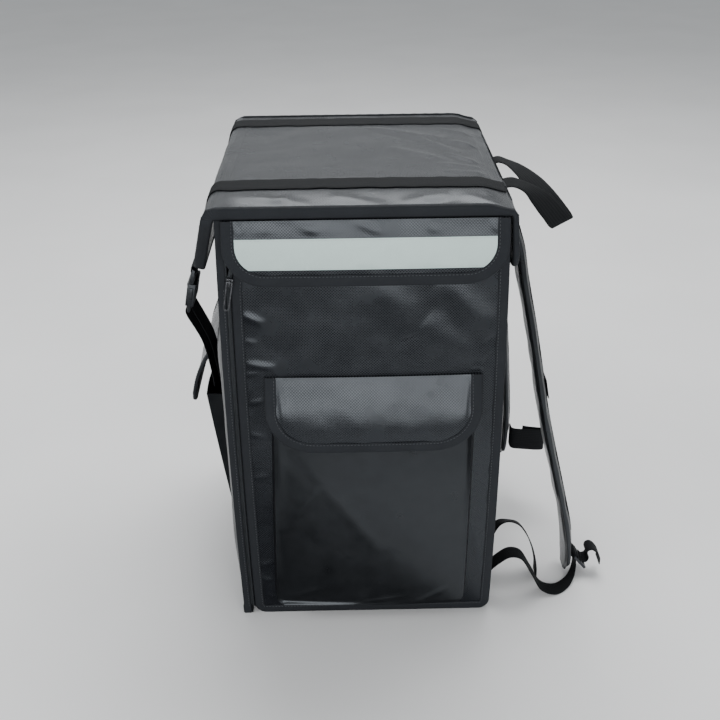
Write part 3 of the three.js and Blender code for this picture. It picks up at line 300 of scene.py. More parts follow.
@dataclass(frozen=True)
class Outline:
    """A panel of cloth on a surface: its limits across and along, rounded corners and leaning sides."""

    u0: float
    u1: float
    v0: float
    v1: float
    start_low: float = 0.0
    end_low: float = 0.0
    start_high: float = 0.0
    end_high: float = 0.0
    lean_start: Callable[[Array], Array] = straight
    lean_end: Callable[[Array], Array] = straight

    @staticmethod
    def inset(radius: float, distance: Array) -> Array:
        """Return how far a rounded corner draws a side in, at a distance from the end."""
        left = np.clip(radius - distance, 0.0, radius)
        return radius - np.sqrt(np.maximum(0.0, radius * radius - left * left))

    def start(self, v: Array) -> Array:
        """Return the limit where u is lowest."""
        corners = self.inset(self.start_low, v - self.v0) + self.inset(self.start_high, self.v1 - v)
        return self.u0 + self.lean_start(v) + corners

    def end(self, v: Array) -> Array:
        """Return the limit where u is highest."""
        corners = self.inset(self.end_low, v - self.v0) + self.inset(self.end_high, self.v1 - v)
        return self.u1 - self.lean_end(v) - corners

    def rows(self, step: float, extra: Sequence[float] = ()) -> Array:
        """Return values of v: evenly spaced, closer in the rounded corners, with extra ones."""
        count = max(2, int(round((self.v1 - self.v0) / step)) + 1)
        values = list(np.linspace(self.v0, self.v1, count)) + list(extra)
        turns = np.linspace(0.0, math.pi / 2, 14)
        for radius in (self.start_low, self.end_low):
            values.extend(self.v0 + radius * (1.0 - np.sin(turns)) if radius else [])
        for radius in (self.start_high, self.end_high):
            values.extend(self.v1 - radius * (1.0 - np.sin(turns)) if radius else [])
        ordered = np.unique(np.round(values, 6))
        keep = np.concatenate([[True], np.diff(ordered) > 0.12 * MM])
        ordered = ordered[keep]
        ordered[0], ordered[-1] = self.v0, self.v1
        return ordered

    def inset_by(self, distance: float, high: bool = False) -> "Outline":
        """Return the outline drawn in from its start, low and end sides, and from its high side if asked."""
        radii = [max(0.0, radius - distance)
                 for radius in (self.start_low, self.end_low, self.start_high, self.end_high)]
        return Outline(self.u0 + distance, self.u1 - distance, self.v0 + distance,
                       self.v1 - (distance if high else 0.0), *radii, self.lean_start, self.lean_end)

    def rim(self, step: float, closed: bool = False) -> Array:
        """Return the rim as a path of points at even steps.

        Args:
            step: Distance between points.
            closed: Whether the path also runs along the high side.

        Returns:
            Points in u and v, down the start side, along the low side and up the end side.
        """
        turns = np.linspace(0.0, math.pi / 2, 16)

        def corner(cu: float, cv: float, radius: float, begin: float) -> list[tuple[float, float]]:
            """Return points round one corner, or its only point where it is sharp."""
            if radius <= 0.0:
                return [(cu, cv)]
            return [(cu + radius * math.cos(begin + t), cv + radius * math.sin(begin + t)) for t in turns]

        sl, el, eh, sh = self.start_low, self.end_low, self.end_high, self.start_high
        points = [] if closed and sh else [(self.u0, self.v1)]
        points += corner(self.u0 + sl, self.v0 + sl, sl, math.pi)
        points += corner(self.u1 - el, self.v0 + el, el, 1.5 * math.pi)
        if closed:
            points += corner(self.u1 - eh, self.v1 - eh, eh, 0.0)
            points += corner(self.u0 + sh, self.v1 - sh, sh, math.pi / 2)
        else:
            points += [(self.u1, self.v1)]
        path = resample(np.array(points), step, closed)
        share = np.clip((path[:, 0] - self.u0) / (self.u1 - self.u0), 0.0, 1.0)
        lean = self.lean_start(path[:, 1]) * (1.0 - share) - self.lean_end(path[:, 1]) * share
        return np.column_stack([path[:, 0] + lean, path[:, 1]])


def resample(points: Array, step: float, closed: bool = False) -> Array:
    """Return a polyline's points again at even steps along it."""
    line = np.vstack([points, points[:1]]) if closed else points
    marks = distances(line)
    count = max(3, int(round(marks[-1] / step)))
    where = np.linspace(0.0, marks[-1], count + 1)
    if closed:
        where = where[:-1]
    return np.column_stack([np.interp(where, marks, line[:, i]) for i in range(line.shape[1])])


def smooth_line(points: Array, count: int) -> Array:
    """Return a centripetal Catmull-Rom curve through points.

    Args:
        points: Points in rows, with any number of columns.
        count: Number of points to return.

    Returns:
        Points of the curve, evenly spread over its spans.
    """
    data = np.asarray(points, float)
    knots = np.vstack([2.0 * data[0] - data[1], data, 2.0 * data[-1] - data[-2]])
    spans = len(data) - 1
    result = []
    for place in np.linspace(0.0, spans, count):
        i = min(int(place), spans - 1)
        share = place - i
        p0, p1, p2, p3 = knots[i:i + 4]
        t1 = max(1e-9, np.linalg.norm(p1[:3] - p0[:3])) ** 0.5
        t2 = t1 + max(1e-9, np.linalg.norm(p2[:3] - p1[:3])) ** 0.5
        t3 = t2 + max(1e-9, np.linalg.norm(p3[:3] - p2[:3])) ** 0.5
        t = t1 + share * (t2 - t1)
        a1 = (t1 - t) / t1 * p0 + t / t1 * p1
        a2 = (t2 - t) / (t2 - t1) * p1 + (t - t1) / (t2 - t1) * p2
        a3 = (t3 - t) / (t3 - t2) * p2 + (t - t2) / (t3 - t2) * p3
        b1 = (t2 - t) / t2 * a1 + t / t2 * a2
        b2 = (t3 - t) / (t3 - t1) * a2 + (t - t1) / (t3 - t1) * a3
        result.append((t2 - t) / (t2 - t1) * b1 + (t - t1) / (t2 - t1) * b2)
    return np.array(result)


def path_normals(path: Array, closed: bool) -> Array:
    """Return unit directions inwards of a flat path, to the left of its way."""
    if closed:
        ahead = np.roll(path, -1, axis=0) - path
        behind = path - np.roll(path, 1, axis=0)
    else:
        ahead = np.diff(path, axis=0, append=path[-1:] * 2 - path[-2:-1])
        behind = np.diff(path, axis=0, prepend=path[:1] * 2 - path[1:2])
    ahead /= np.linalg.norm(ahead, axis=1, keepdims=True)
    behind /= np.linalg.norm(behind, axis=1, keepdims=True)
    first = np.column_stack([-behind[:, 1], behind[:, 0]])
    second = np.column_stack([-ahead[:, 1], ahead[:, 0]])
    meet = 1.0 + np.sum(first * second, axis=1, keepdims=True)
    return (first + second) / meet


def grid_faces(rows: int, columns: int, base: int = 0, wrap: bool = False) -> Array:
    """Return the quads of a grid of points numbered row by row.

    Args:
        rows: Number of rows.
        columns: Number of columns.
        base: Number of the first point.
        wrap: Whether the last column joins the first.

    Returns:
        Four point numbers for each quad.
    """
    r = np.arange(rows - 1)[:, None]
    c = np.arange(columns if wrap else columns - 1)[None, :]
    nxt = (c + 1) % columns
    quads = np.stack([r * columns + c, r * columns + nxt, (r + 1) * columns + nxt, (r + 1) * columns + c], axis=-1)
    return quads.reshape(-1, 4) + base


def show(name: str, data: bpy.types.ID) -> Thing:
    """Return a new object of the scene that holds some data."""
    piece = bpy.data.objects.new(name, data)
    bpy.context.scene.collection.objects.link(piece)
    return piece


def build_mesh(name: str, points: Array, faces: Sequence, uv: Array, material: Finish,
               smooth_angle: float = 50.0) -> Thing:
    """Make a mesh object with outward faces and its own UV map.

    Args:
        name: Name of the piece.
        points: Its points, in metres.
        faces: Its faces, as lists of point numbers.
        uv: Place of each point on the flat cloth, in metres.
        material: Its finish.
        smooth_angle: Angle in degrees over which an edge stays sharp.

    Returns:
        The new object, at the origin.
    """
    mesh = bpy.data.meshes.new(name)
    mesh.from_pydata(points.tolist(), [], [list(map(int, face)) for face in faces])
    layer = mesh.uv_layers.new(name="cloth")
    index = np.empty(len(mesh.loops), np.int32)
    mesh.loops.foreach_get("vertex_index", index)
    layer.data.foreach_set("uv", uv[index].astype(np.float32).ravel())
    bm = bmesh.new()
    bm.from_mesh(mesh)
    bmesh.ops.recalc_face_normals(bm, faces=bm.faces)
    if bm.calc_volume(signed=True) < 0.0:
        bmesh.ops.reverse_faces(bm, faces=bm.faces)
    for face in bm.faces:
        face.smooth = True
    limit = math.radians(smooth_angle)
    for edge in bm.edges:
        if len(edge.link_faces) == 2 and edge.calc_face_angle(0.0) > limit:
            edge.smooth = False
    bm.to_mesh(mesh)
    bm.free()
    mesh.materials.append(material)
    return show(name, mesh)


def tube(name: str, rings: Array, along: Array, across: Sequence[float], material: Finish, angle: float = 60.0,
         ends: bool = True) -> Thing:
    """Make a tube from rings of points.

    Args:
        name: Name of the piece.
        rings: Its points, ring by ring.
        along: Place of each ring on the flat cloth.
        across: Place of each point of a ring on the flat cloth.
        material: Its finish.
        angle: Angle in degrees over which an edge stays sharp.
        ends: Whether both ends are closed.

    Returns:
        The new piece.
    """
    count, wide = rings.shape[:2]
    uv = np.stack(np.broadcast_arrays(along[:, None], np.array(across)[None, :]), axis=-1)
    faces = [list(face) for face in grid_faces(count, wide, 0, wrap=True)]
    if ends:
        faces += [list(range(wide))[::-1], [(count - 1) * wide + i for i in range(wide)]]
    return build_mesh(name, rings.reshape(-1, 3), faces, uv.reshape(-1, 2), material, angle)


def settle(piece: Thing, slot: Slot, *nodes: str, body: str = BODY) -> Thing:
    """Let a piece ride its body, hide the nodes it stands for, and report it."""
    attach(piece, body)
    if nodes:
        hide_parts(*nodes)
    LOG.info("%s: %d faces", piece.name, len(piece.data.polygons))
    return piece


@dataclass(frozen=True)
class Relief:
    """Waves and creases that a sewn panel has over its plain crown."""

    margin: float = 14 * MM
    wave: float = 90 * MM
    rise: float = 0.5 * MM
    seed: int = 1
    creases: tuple[Crease, ...] = ()
    quiet: tuple[tuple[int, float, float], ...] = ()
    form: Height | None = None

    def height(self, u: Array, v: Array, edge: Array) -> Array:
        """Return the relief at points of the flat cloth, fading out at its sewn edge and in quiet bands."""
        fade = ease((edge - 2 * MM) / self.margin)
        near = ease(edge / (6 * MM))
        for axis, low, high in self.quiet:
            along = v if axis else u
            still = ease(np.maximum(low - along, along - high) / (9 * MM))
            fade, near = fade * still, near * still
        fine = ripple(u, v, self.wave * 0.32, self.rise * 0.2, self.seed + 50)
        slow = ripple(u, v, self.wave, self.rise, self.seed)
        total = fade * (slow + fine) + near * folds(self.creases, u, v)
        return total + (near * self.form(u, v) if self.form else 0.0)


def cloth_panel(name: str, outline: Outline, surface: Surface, low: Height, high: Height,
                material: Finish, step: float, relief: Relief,
                extra: Sequence[float] = ()) -> Thing:
    """Make a panel of cloth or padding with a crowned face, a plain back and a closed rim.

    Args:
        name: Name of the piece.
        outline: Its outline on the surface.
        surface: Gives points over the surface from u, v and a height.
        low: Height of its back.
        high: Height of its face.
        material: Its finish.
        step: Distance between mesh points.
        relief: Waves and creases of the face.
        extra: Further rows of v that the mesh has to hold.

    Returns:
        The new piece.
    """
    rows = outline.rows(step, extra)
    widest = outline.u1 - outline.u0
    columns = max(4, int(round(widest / step)))
    share = np.linspace(0.0, 1.0, columns + 1)[None, :]
    v = rows[:, None] + 0.0 * share
    start, end = outline.start(v), outline.end(v)
    u = start + (end - start) * share
    edge = np.minimum(np.minimum(u - start, end - u), np.minimum(v - outline.v0, outline.v1 - v))
    face = surface(u, v, high(u, v) + relief.height(u, v, edge))
    back = surface(u, v, low(u, v))
    count = u.size
    points = np.concatenate([face.reshape(-1, 3), back.reshape(-1, 3)])
    uv = np.concatenate([np.column_stack([u.ravel(), v.ravel()])] * 2)
    wide = columns + 1
    front = grid_faces(len(rows), wide)
    faces = [front, front[:, ::-1] + count]
    ring = np.concatenate([
        np.arange(wide), np.arange(2 * wide - 1, count, wide),
        np.arange(count - 2, count - wide - 1, -1), np.arange(count - 2 * wide, 0, -wide),
    ])
    nxt = np.roll(ring, -1)
    faces.append(np.stack([nxt, ring, ring + count, nxt + count], axis=-1))
    return build_mesh(name, points, np.concatenate(faces), uv, material)


@dataclass(frozen=True)
class TapeSection:
    """Ribbon folded round an edge."""

    width: float
    clearance: float = 0.3 * MM
    thickness: float = 1 * MM
    roll: float = 2.4 * MM
    pucker: float = 0.16 * MM
    sway: float = 0.35 * MM

    def points(self, thick: float) -> list[tuple[float, float, float]]:
        """Return the section as depth in from the edge, side and stand-off.

        Args:
            thick: Thickness of what the ribbon is folded round.

        Returns:
            Rows of depth, share from back to face and height beyond that face.
        """
        near = self.clearance
        far = self.clearance + self.thickness
        roll = min(self.roll, thick / 2 + far)
        turn = np.linspace(0.0, math.pi / 2, 5)
        rows = [(self.width, 1.0, near), (self.width, 1.0, far - 0.3 * MM), (self.width - 0.4 * MM, 1.0, far)]
        rows += [(self.width * 0.55, 1.0, far)]
        rows += [(-far + roll - roll * math.sin(t), 1.0, far - roll + roll * math.cos(t)) for t in turn]
        rows += [(-far + roll - roll * math.cos(t), 0.0, -(far - roll + roll * math.sin(t))) for t in turn]
        rows += [(self.width * 0.55, 0.0, -far), (self.width, 0.0, -far)]
        rows += [(self.width, 0.0, -near), (-near, 0.0, -near), (-near, 1.0, near)]
        return rows


def ribbon_tape(name: str, path: Array, closed: bool, surface: Surface, low: Height, high: Height,
                section: TapeSection, thick: float, material: Finish, seed: int) -> Thing:
    """Make ribbon folded round the rim of a panel.

    Args:
        name: Name of the piece.
        path: Rim as points in u and v.
        closed: Whether the rim is a closed loop.
        surface: Gives points over the surface.
        low: Height of the panel's back.
        high: Height of the panel's face.
        section: Sizes of the ribbon.
        thick: Thickness of the panel.
        material: Its finish.
        seed: Seed of its small puckers.

    Returns:
        The new piece.
    """
    normals = path_normals(path, closed)
    lengths = distances(path)
    if closed:
        path, normals = np.vstack([path, path[:1]]), np.vstack([normals, normals[:1]])
        lengths = np.append(lengths, lengths[-1] + np.linalg.norm(path[-1] - path[-2]))
    total = lengths[-1]
    turns = np.random.default_rng(seed)

    def sway(size: float, rise: float) -> Array:
        """Return a random wave along the ribbon that closes on itself."""
        wave = np.zeros(len(path))
        cycles = max(2, int(total / size))
        for number in (cycles - 1, cycles, cycles + 3, 2 * cycles + 1):
            wave += np.sin(2 * math.pi * (number * lengths / total + turns.uniform(0, 1)))
        return rise * wave / 2.0

    edge_sway = sway(46 * MM, section.sway)
    face_pucker = sway(17 * MM, section.pucker)
    columns = []
    across = [0.0]
    rows = section.points(thick)
    for i, (depth, side, stand) in enumerate(rows):
        inner = depth > section.width * 0.8
        flat = side > 0.5 and 0.0 < depth and stand > section.clearance
        d = depth + (edge_sway if inner else 0.0)
        p = path + normals * (d[:, None] if inner else d)
        level = high(p[:, 0], p[:, 1]) if side > 0.5 else low(p[:, 0], p[:, 1])
        height = level + stand + (face_pucker * (0.5 if inner else 1.0) if flat else 0.0)
        columns.append(surface(p[:, 0], p[:, 1], height))
        if i:
            across.append(across[-1] + float(np.linalg.norm(columns[-1][0] - columns[-2][0])))
    piece = tube(name, np.stack(columns, axis=1), lengths, across, material, ends=not closed)
    if closed:
        bm = bmesh.new()
        bm.from_mesh(piece.data)
        bmesh.ops.remove_doubles(bm, verts=bm.verts, dist=1e-6)
        bm.to_mesh(piece.data)
        bm.free()
    return piece


def webbing(name: str, centres: Array, across: Array, thickness: float, material: Finish,
            wave: float = 0.0, seed: int = 3, curl: float = 0.0) -> Thing:
    """Make a run of woven webbing with rounded edges.

    Args:
        name: Name of the piece.
        centres: Points along its middle.
        across: Its width as a vector at each point.
        thickness: Its thickness.
        material: Its finish.
        wave: How far its edges wander.
        seed: Seed of the wander.
        curl: How far its edges lift from its middle.

    Returns:
        The new piece.
    """
    ahead = np.gradient(centres, axis=0)
    ahead /= np.linalg.norm(ahead, axis=1, keepdims=True)
    width = np.linalg.norm(across, axis=1, keepdims=True)
    side = across / width
    normal = np.cross(ahead, side)
    normal /= np.linalg.norm(normal, axis=1, keepdims=True)
    lengths = distances(centres)
    rng = np.random.default_rng(seed)
    wander = [np.zeros(len(centres)), np.zeros(len(centres))]
    for edge in wander:
        for _ in range(5):
            edge += np.sin(2 * math.pi * lengths / rng.uniform(22 * MM, 70 * MM) + rng.uniform(0, 6.3)) / 2.2
    shares = np.array([-1.0, -0.93, -0.6, -0.2, 0.2, 0.6, 0.93, 1.0])
    depth = np.array([0.28, 1.0, 1.0, 1.0, 1.0, 1.0, 1.0, 0.28])
    ring = [(s, d) for s, d in zip(shares, depth)] + [(s, -d) for s, d in zip(shares[::-1], depth[::-1])]
    columns, place = [], []
    for share, face in ring:
        push = wave * (wander[0] if share < 0 else wander[1]) * abs(share) ** 4
        offset = side * (share * width / 2 + (np.sign(share) * push)[:, None])
        lift = face * thickness / 2 + curl * share * share
        columns.append(centres + offset + normal * lift)
        place.append(share * float(width[0, 0]) / 2)
    return tube(name, np.stack(columns, axis=1), lengths, place, material)


def plane_webbing(name: str, line: Array, y: float, width: float, thickness: float, material: Finish,
                  lift: Callable[[Array, Array], Array] | None = None, wave: float = 0.2 * MM,
                  seed: int = 3) -> Thing:
    """Make webbing along a line of x and z at one y, lifted where its bed is crowned."""
    x, z = line[:, 0], line[:, 1]
    rise = lift(x, y + 0.0 * x) if lift else 0.0 * x
    centres = stack(x, y, z + rise)
    across = np.tile([0.0, width, 0.0], (len(line), 1))
    return webbing(name, centres, across, thickness, material, wave, seed)


def turned_line(points: Sequence[Sequence[float]], step: float = 2 * MM) -> Array:
    """Return a smooth evenly stepped line through points of a plane."""
    data = np.array(points, float)
    dense = smooth_line(data, 24 * len(data))
    return resample(dense, step)


class Repeat:
    """Geometry Nodes tree that lays small threads or teeth along lines."""

    kinds: dict[str, str] = {
        "in": "NodeGroupInput", "curve": "GeometryNodeMeshToCurve", "spread": "GeometryNodeResampleCurve",
        "bead": "GeometryNodeMeshUVSphere", "size": "ShaderNodeCombineXYZ", "tangent": "GeometryNodeInputTangent",
        "facing": "GeometryNodeInputNamedAttribute", "along": "FunctionNodeAlignRotationToVector",
        "upright": "FunctionNodeAlignRotationToVector", "place": "GeometryNodeInstanceOnPoints",
        "real": "GeometryNodeRealizeInstances", "smooth": "GeometryNodeSetShadeSmooth",
        "paint": "GeometryNodeSetMaterial", "out": "NodeGroupOutput",
    }
    joints: tuple[tuple[str, str, str, str], ...] = (
        ("in", "Line", "curve", "Mesh"), ("curve", "Curve", "spread", "Curve"),
        ("in", "Spacing", "spread", "Length"), ("tangent", "Tangent", "along", "Vector"),
        ("along", "Rotation", "upright", "Rotation"), ("facing", "Attribute", "upright", "Vector"),
        ("in", "Length", "size", "X"), ("in", "Width", "size", "Y"), ("in", "Height", "size", "Z"),
        ("spread", "Curve", "place", "Points"), ("bead", "Mesh", "place", "Instance"),
        ("upright", "Rotation", "place", "Rotation"), ("size", "Vector", "place", "Scale"),
        ("place", "Instances", "smooth", "Geometry"), ("smooth", "Geometry", "real", "Geometry"),
        ("real", "Geometry", "paint", "Geometry"), ("in", "Thread", "paint", "Material"),
        ("paint", "Geometry", "out", "Geometry"),
    )

    def __init__(self, name: str, material: Finish) -> None:
        """Build the tree.

        Args:
            name: Name of the tree.
            material: Finish of what it lays.
        """
        tree = bpy.data.node_groups.new(name, "GeometryNodeTree")
        sides = [("Line", "INPUT", "Geometry"), ("Thread", "INPUT", "Material"), ("Geometry", "OUTPUT", "Geometry")]
        sides += [(label, "INPUT", "Float") for label in ("Spacing", "Length", "Width", "Height")]
        for label, way, kind in sides:
            tree.interface.new_socket(label, in_out=way, socket_type="NodeSocket" + kind)
        nodes = {label: tree.nodes.new(kind) for label, kind in self.kinds.items()}
        nodes["spread"].mode = "LENGTH"
        nodes["facing"].data_type = "FLOAT_VECTOR"
        nodes["along"].axis = "X"
        nodes["upright"].axis, nodes["upright"].pivot_axis = "Z", "X"
        for label, socket, value in (("bead", "Segments", 6), ("bead", "Rings", 4), ("bead", "Radius", 0.5),
                                     ("facing", "Name", "facing")):
            nodes[label].inputs[socket].default_value = value
        for source, given, target, taken in self.joints:
            tree.links.new(nodes[source].outputs[given], nodes[target].inputs[taken])
        self.tree, self.material = tree, material
        self.names = {item.name: item.identifier for item in tree.interface.items_tree if item.in_out == "INPUT"}

    def lay(self, name: str, lines: Sequence[tuple[Array, Array]], spacing: float, length: float, width: float,
            height: float) -> Thing:
        """Lay threads along lines and return them as one plain mesh.

        Args:
            name: Name of the piece.
            lines: Points of each line with the way its surface faces.
            spacing: Distance from one thread to the next.
            length: Length of one thread.
            width: Its width.
            height: Its height.

        Returns:
            The new piece.
        """
        points, edges, ways = [], [], []
        for line, facing in lines:
            base = len(points)
            points.extend(line.tolist())
            ways.extend(np.broadcast_to(facing, line.shape).ravel().tolist())
            edges.extend((base + i, base + i + 1) for i in range(len(line) - 1))
        guide = bpy.data.meshes.new(name + "_lines")
        guide.from_pydata(points, edges, [])
        guide.attributes.new("facing", "FLOAT_VECTOR", "POINT").data.foreach_set("vector", ways)
        carrier = show(name + "_lines", guide)
        modifier = carrier.modifiers.new("repeat", "NODES")
        modifier.node_group = self.tree
        sizes = {"Spacing": spacing, "Length": length, "Width": width, "Height": height, "Thread": self.material}
        for label, value in sizes.items():
            modifier[self.names[label]] = value
        result = carrier.evaluated_get(bpy.context.evaluated_depsgraph_get())
        mesh = bpy.data.meshes.new_from_object(result)
        carrier.modifiers.remove(modifier)
        bpy.data.objects.remove(carrier)
        mesh.name = name
        return show(name, mesh)


class Graph:
    """Short forms for the nodes of one material."""

    def __init__(self, name: str, shine: float = 0.5) -> None:
        """Start a material with a Principled shader of a given specular level."""
        self.material = bpy.data.materials.new(name)
        self.material.use_nodes = True
        self.nodes = self.material.node_tree.nodes
        self.links = self.material.node_tree.links
        self.shader = self.nodes["Principled BSDF"]
        self.shader.inputs["Specular IOR Level"].default_value = shine
        self.shader.inputs["Specular Tint"].default_value = (0.86, 0.93, 1.0, 1.0)

    def link(self, source: Socket, target: Socket) -> None:
        """Join two sockets."""
        self.links.new(source, target)

    def add(self, kind: str, **values: object) -> bpy.types.Node:
        """Add a node and set its properties."""
        node = self.nodes.new(kind)
        for key, value in values.items():
            setattr(node, key, value)
        return node

    def put(self, node: bpy.types.Node, socket: str | int, value: object) -> None:
        """Set an input, or link it where the value is a socket."""
        if isinstance(value, Socket):
            self.link(value, node.inputs[socket])
        else:
            node.inputs[socket].default_value = value

    def math(self, operation: str, *values: object) -> Socket:
        """Return the result of a Math node."""
        node = self.add("ShaderNodeMath", operation=operation)
        for i, value in enumerate(values):
            self.put(node, i, value)
        return node.outputs[0]

    def flat(self) -> tuple[Socket, Socket]:
        """Return the two coordinates on the flat cloth, in metres."""
        split = self.add("ShaderNodeSeparateXYZ")
        self.link(self.add("ShaderNodeUVMap", uv_map="cloth").outputs[0], split.inputs[0])
        return split.outputs[0], split.outputs[1]

    def noise(self, scale: float, detail: float = 3.0, roughness: float = 0.5) -> Socket:
        """Return noise over Object coordinates."""
        node = self.add("ShaderNodeTexNoise")
        self.link(self.add("ShaderNodeTexCoord").outputs["Object"], node.inputs["Vector"])
        node.inputs["Scale"].default_value = scale
        node.inputs["Detail"].default_value = detail
        node.inputs["Roughness"].default_value = roughness
        return node.outputs["Fac"]

    def spread(self, value: Socket, low: float, high: float, from_low: float = 0.3,
               from_high: float = 0.7) -> Socket:
        """Return a value mapped from one range to another."""
        node = self.add("ShaderNodeMapRange")
        for socket, number in ((1, from_low), (2, from_high), (3, low), (4, high)):
            node.inputs[socket].default_value = number
        self.link(value, node.inputs[0])
        return node.outputs[0]

    def blend(self, share: Socket, first: Colour, second: Colour) -> Socket:
        """Return a colour between two by a share."""
        node = self.add("ShaderNodeMix", data_type="RGBA")
        self.link(share, node.inputs["Factor"])
        node.inputs["A"].default_value = (*first, 1.0)
        node.inputs["B"].default_value = (*second, 1.0)
        return node.outputs["Result"]

    def bump(self, height: Socket, distance: float,
             before: Socket | None = None) -> Socket:
        """Return a normal bumped by a height of that distance in metres."""
        node = self.add("ShaderNodeBump")
        node.inputs["Distance"].default_value = distance
        self.link(height, node.inputs["Height"])
        if before:
            self.link(before, node.inputs["Normal"])
        return node.outputs[0]

    def ribs(self, along: Socket, pitch: float) -> Socket:
        """Return a wave from nought to one along a coordinate."""
        angle = self.math("MULTIPLY", along, 2.0 * math.pi / pitch)
        return self.math("MULTIPLY_ADD", self.math("SINE", angle), 0.5, 0.5)

    def finish(self, colour: Socket, roughness: Socket,
               normal: Socket) -> Finish:
        """Link the shader's main inputs and return the material."""
        self.link(colour, self.shader.inputs["Base Color"])
        self.link(roughness, self.shader.inputs["Roughness"])
        self.link(normal, self.shader.inputs["Normal"])
        return self.material


@dataclass(frozen=True)
class CoatedCloth:
    """Glossy black coated cloth with an embossed diamond grain."""

    name: str = "coated cloth"
    dark: Colour = (0.0035, 0.004, 0.0055)
    light: Colour = (0.009, 0.01, 0.0125)
    pitch: float = 3.7 * MM
    emboss: float = 0.07 * MM
    groove: float = 0.26
    crinkle: float = 1.3 * MM
    gloss: tuple[float, float] = (0.2, 0.29)

    def build(self) -> Finish:
        """Return the material."""
        g = Graph(self.name)
        u, v = g.flat()
        rising = g.ribs(g.math("ADD", u, v), self.pitch)
        falling = g.ribs(g.math("SUBTRACT", u, v), self.pitch)
        diamond = g.math("POWER", g.math("MULTIPLY", rising, falling), 0.55)
        normal = g.bump(g.noise(22.0, 0.6), self.crinkle)
        normal = g.bump(diamond, self.emboss, normal)
        worn = g.math("MULTIPLY", g.spread(g.noise(60.0, 4.0), 0.4, 1.0), g.spread(diamond, 0.35, 1.0, 0.0, 1.0))
        colour = g.blend(worn, self.dark, self.light)
        groove = g.spread(diamond, self.groove, 0.0, 0.1, 0.42)
        rough = g.math("ADD", g.spread(g.noise(34.0, 2.0), *self.gloss), groove)
        return g.finish(colour, rough, normal)


@dataclass(frozen=True)
class SatinCloth:
    """Smooth satin coated cloth over foam board."""

    name: str = "smooth cloth"
    dark: Colour = (0.004, 0.0045, 0.0052)
    light: Colour = (0.009, 0.0096, 0.011)
    weave: float = 0.9 * MM
    gloss: tuple[float, float] = (0.27, 0.38)

    def build(self) -> Finish:
        """Return the material."""
        g = Graph(self.name)
        u, v = g.flat()
        cloth = g.math("MULTIPLY", g.ribs(u, self.weave), g.ribs(v, self.weave))
        normal = g.bump(g.noise(14.0, 0.6), 0.9 * MM)
        normal = g.bump(cloth, 0.02 * MM, normal)
        worn = g.math("MULTIPLY", g.spread(g.noise(48.0, 5.0), 0.2, 1.0), g.spread(cloth, 0.7, 1.0, 0.0, 1.0))
        colour = g.blend(worn, self.dark, self.light)
        return g.finish(colour, g.spread(g.noise(30.0, 4.0), *self.gloss), normal)


@dataclass(frozen=True)
class Ribbon:
    """Matt woven ribbon with fine cross ribs."""

    name: str = "ribbon"
    dark: Colour = (0.005, 0.0055, 0.0065)
    light: Colour = (0.02, 0.0215, 0.025)
    pitch: float = 0.95 * MM
    rise: float = 0.12 * MM

    def build(self) -> Finish:
        """Return the material."""
        g = Graph(self.name, 0.22)
        along, across = g.flat()
        rib = g.ribs(along, self.pitch)
        thread = g.ribs(across, self.pitch * 1.4)
        weave = g.math("MULTIPLY_ADD", rib, 0.75, g.math("MULTIPLY", thread, 0.25))
        normal = g.bump(g.noise(150.0, 2.0), 0.25 * MM)
        normal = g.bump(weave, self.rise, normal)
        fuzz = g.spread(g.noise(900.0, 2.0), 0.7, 1.0)
        tone = g.math("MULTIPLY", g.spread(weave, 0.25, 1.0, 0.0, 1.0), fuzz)
        tone = g.math("MULTIPLY", tone, g.spread(g.noise(40.0, 3.0), 0.75, 1.0))
        return g.finish(g.blend(tone, self.dark, self.light), g.spread(weave, 0.85, 0.66, 0.0, 1.0), normal)


@dataclass(frozen=True)
class Webbing:
    """Heavy woven webbing with chevron ribs."""

    name: str = "webbing"
    dark: Colour = (0.0025, 0.0027, 0.003)
    light: Colour = (0.012, 0.0125, 0.0135)
    pitch: float = 1.7 * MM
    rise: float = 0.3 * MM

    def build(self) -> Finish:
        """Return the material."""
        g = Graph(self.name, 0.14)
        along, across = g.flat()
        zigzag = g.math("PINGPONG", g.math("ADD", across, 0.5), 3.2 * MM)
        slanted = g.math("MULTIPLY_ADD", zigzag, 0.55, along)
        rib = g.ribs(slanted, self.pitch)
        cord = g.ribs(across, 3.2 * MM)
        weave = g.math("MULTIPLY_ADD", rib, 0.7, g.math("MULTIPLY", cord, 0.3))
        normal = g.bump(g.noise(120.0, 2.0), 0.3 * MM)
        normal = g.bump(weave, self.rise, normal)
        fuzz = g.spread(g.noise(1100.0, 2.0), 0.6, 1.0)
        tone = g.math("MULTIPLY", g.spread(weave, 0.15, 1.0, 0.0, 1.0), fuzz)
        return g.finish(g.blend(tone, self.dark, self.light), g.spread(weave, 0.9, 0.62, 0.0, 1.0), normal)


@dataclass(frozen=True)
class ReflectiveTape:
    """Grey-green reflective tape with a glass-bead grain."""

    name: str = "reflective tape"
    dark: Colour = (0.31, 0.4, 0.38)
    light: Colour = (0.43, 0.53, 0.505)

    def build(self) -> Finish:
        """Return the material."""
        g = Graph(self.name)
        grain = g.noise(1500.0, 2.0)
        cloud = g.noise(38.0, 4.0, 0.6)
        normal = g.bump(g.noise(55.0, 3.0), 0.5 * MM)
        normal = g.bump(grain, 0.04 * MM, normal)
        tone = g.math("MULTIPLY_ADD", g.spread(grain, 0.0, 0.35), 1.0, g.spread(cloud, 0.35, 0.65))
        g.shader.inputs["Metallic"].default_value = 0.15
        return g.finish(g.blend(tone, self.dark, self.light), g.spread(cloud, 0.42, 0.58), normal)


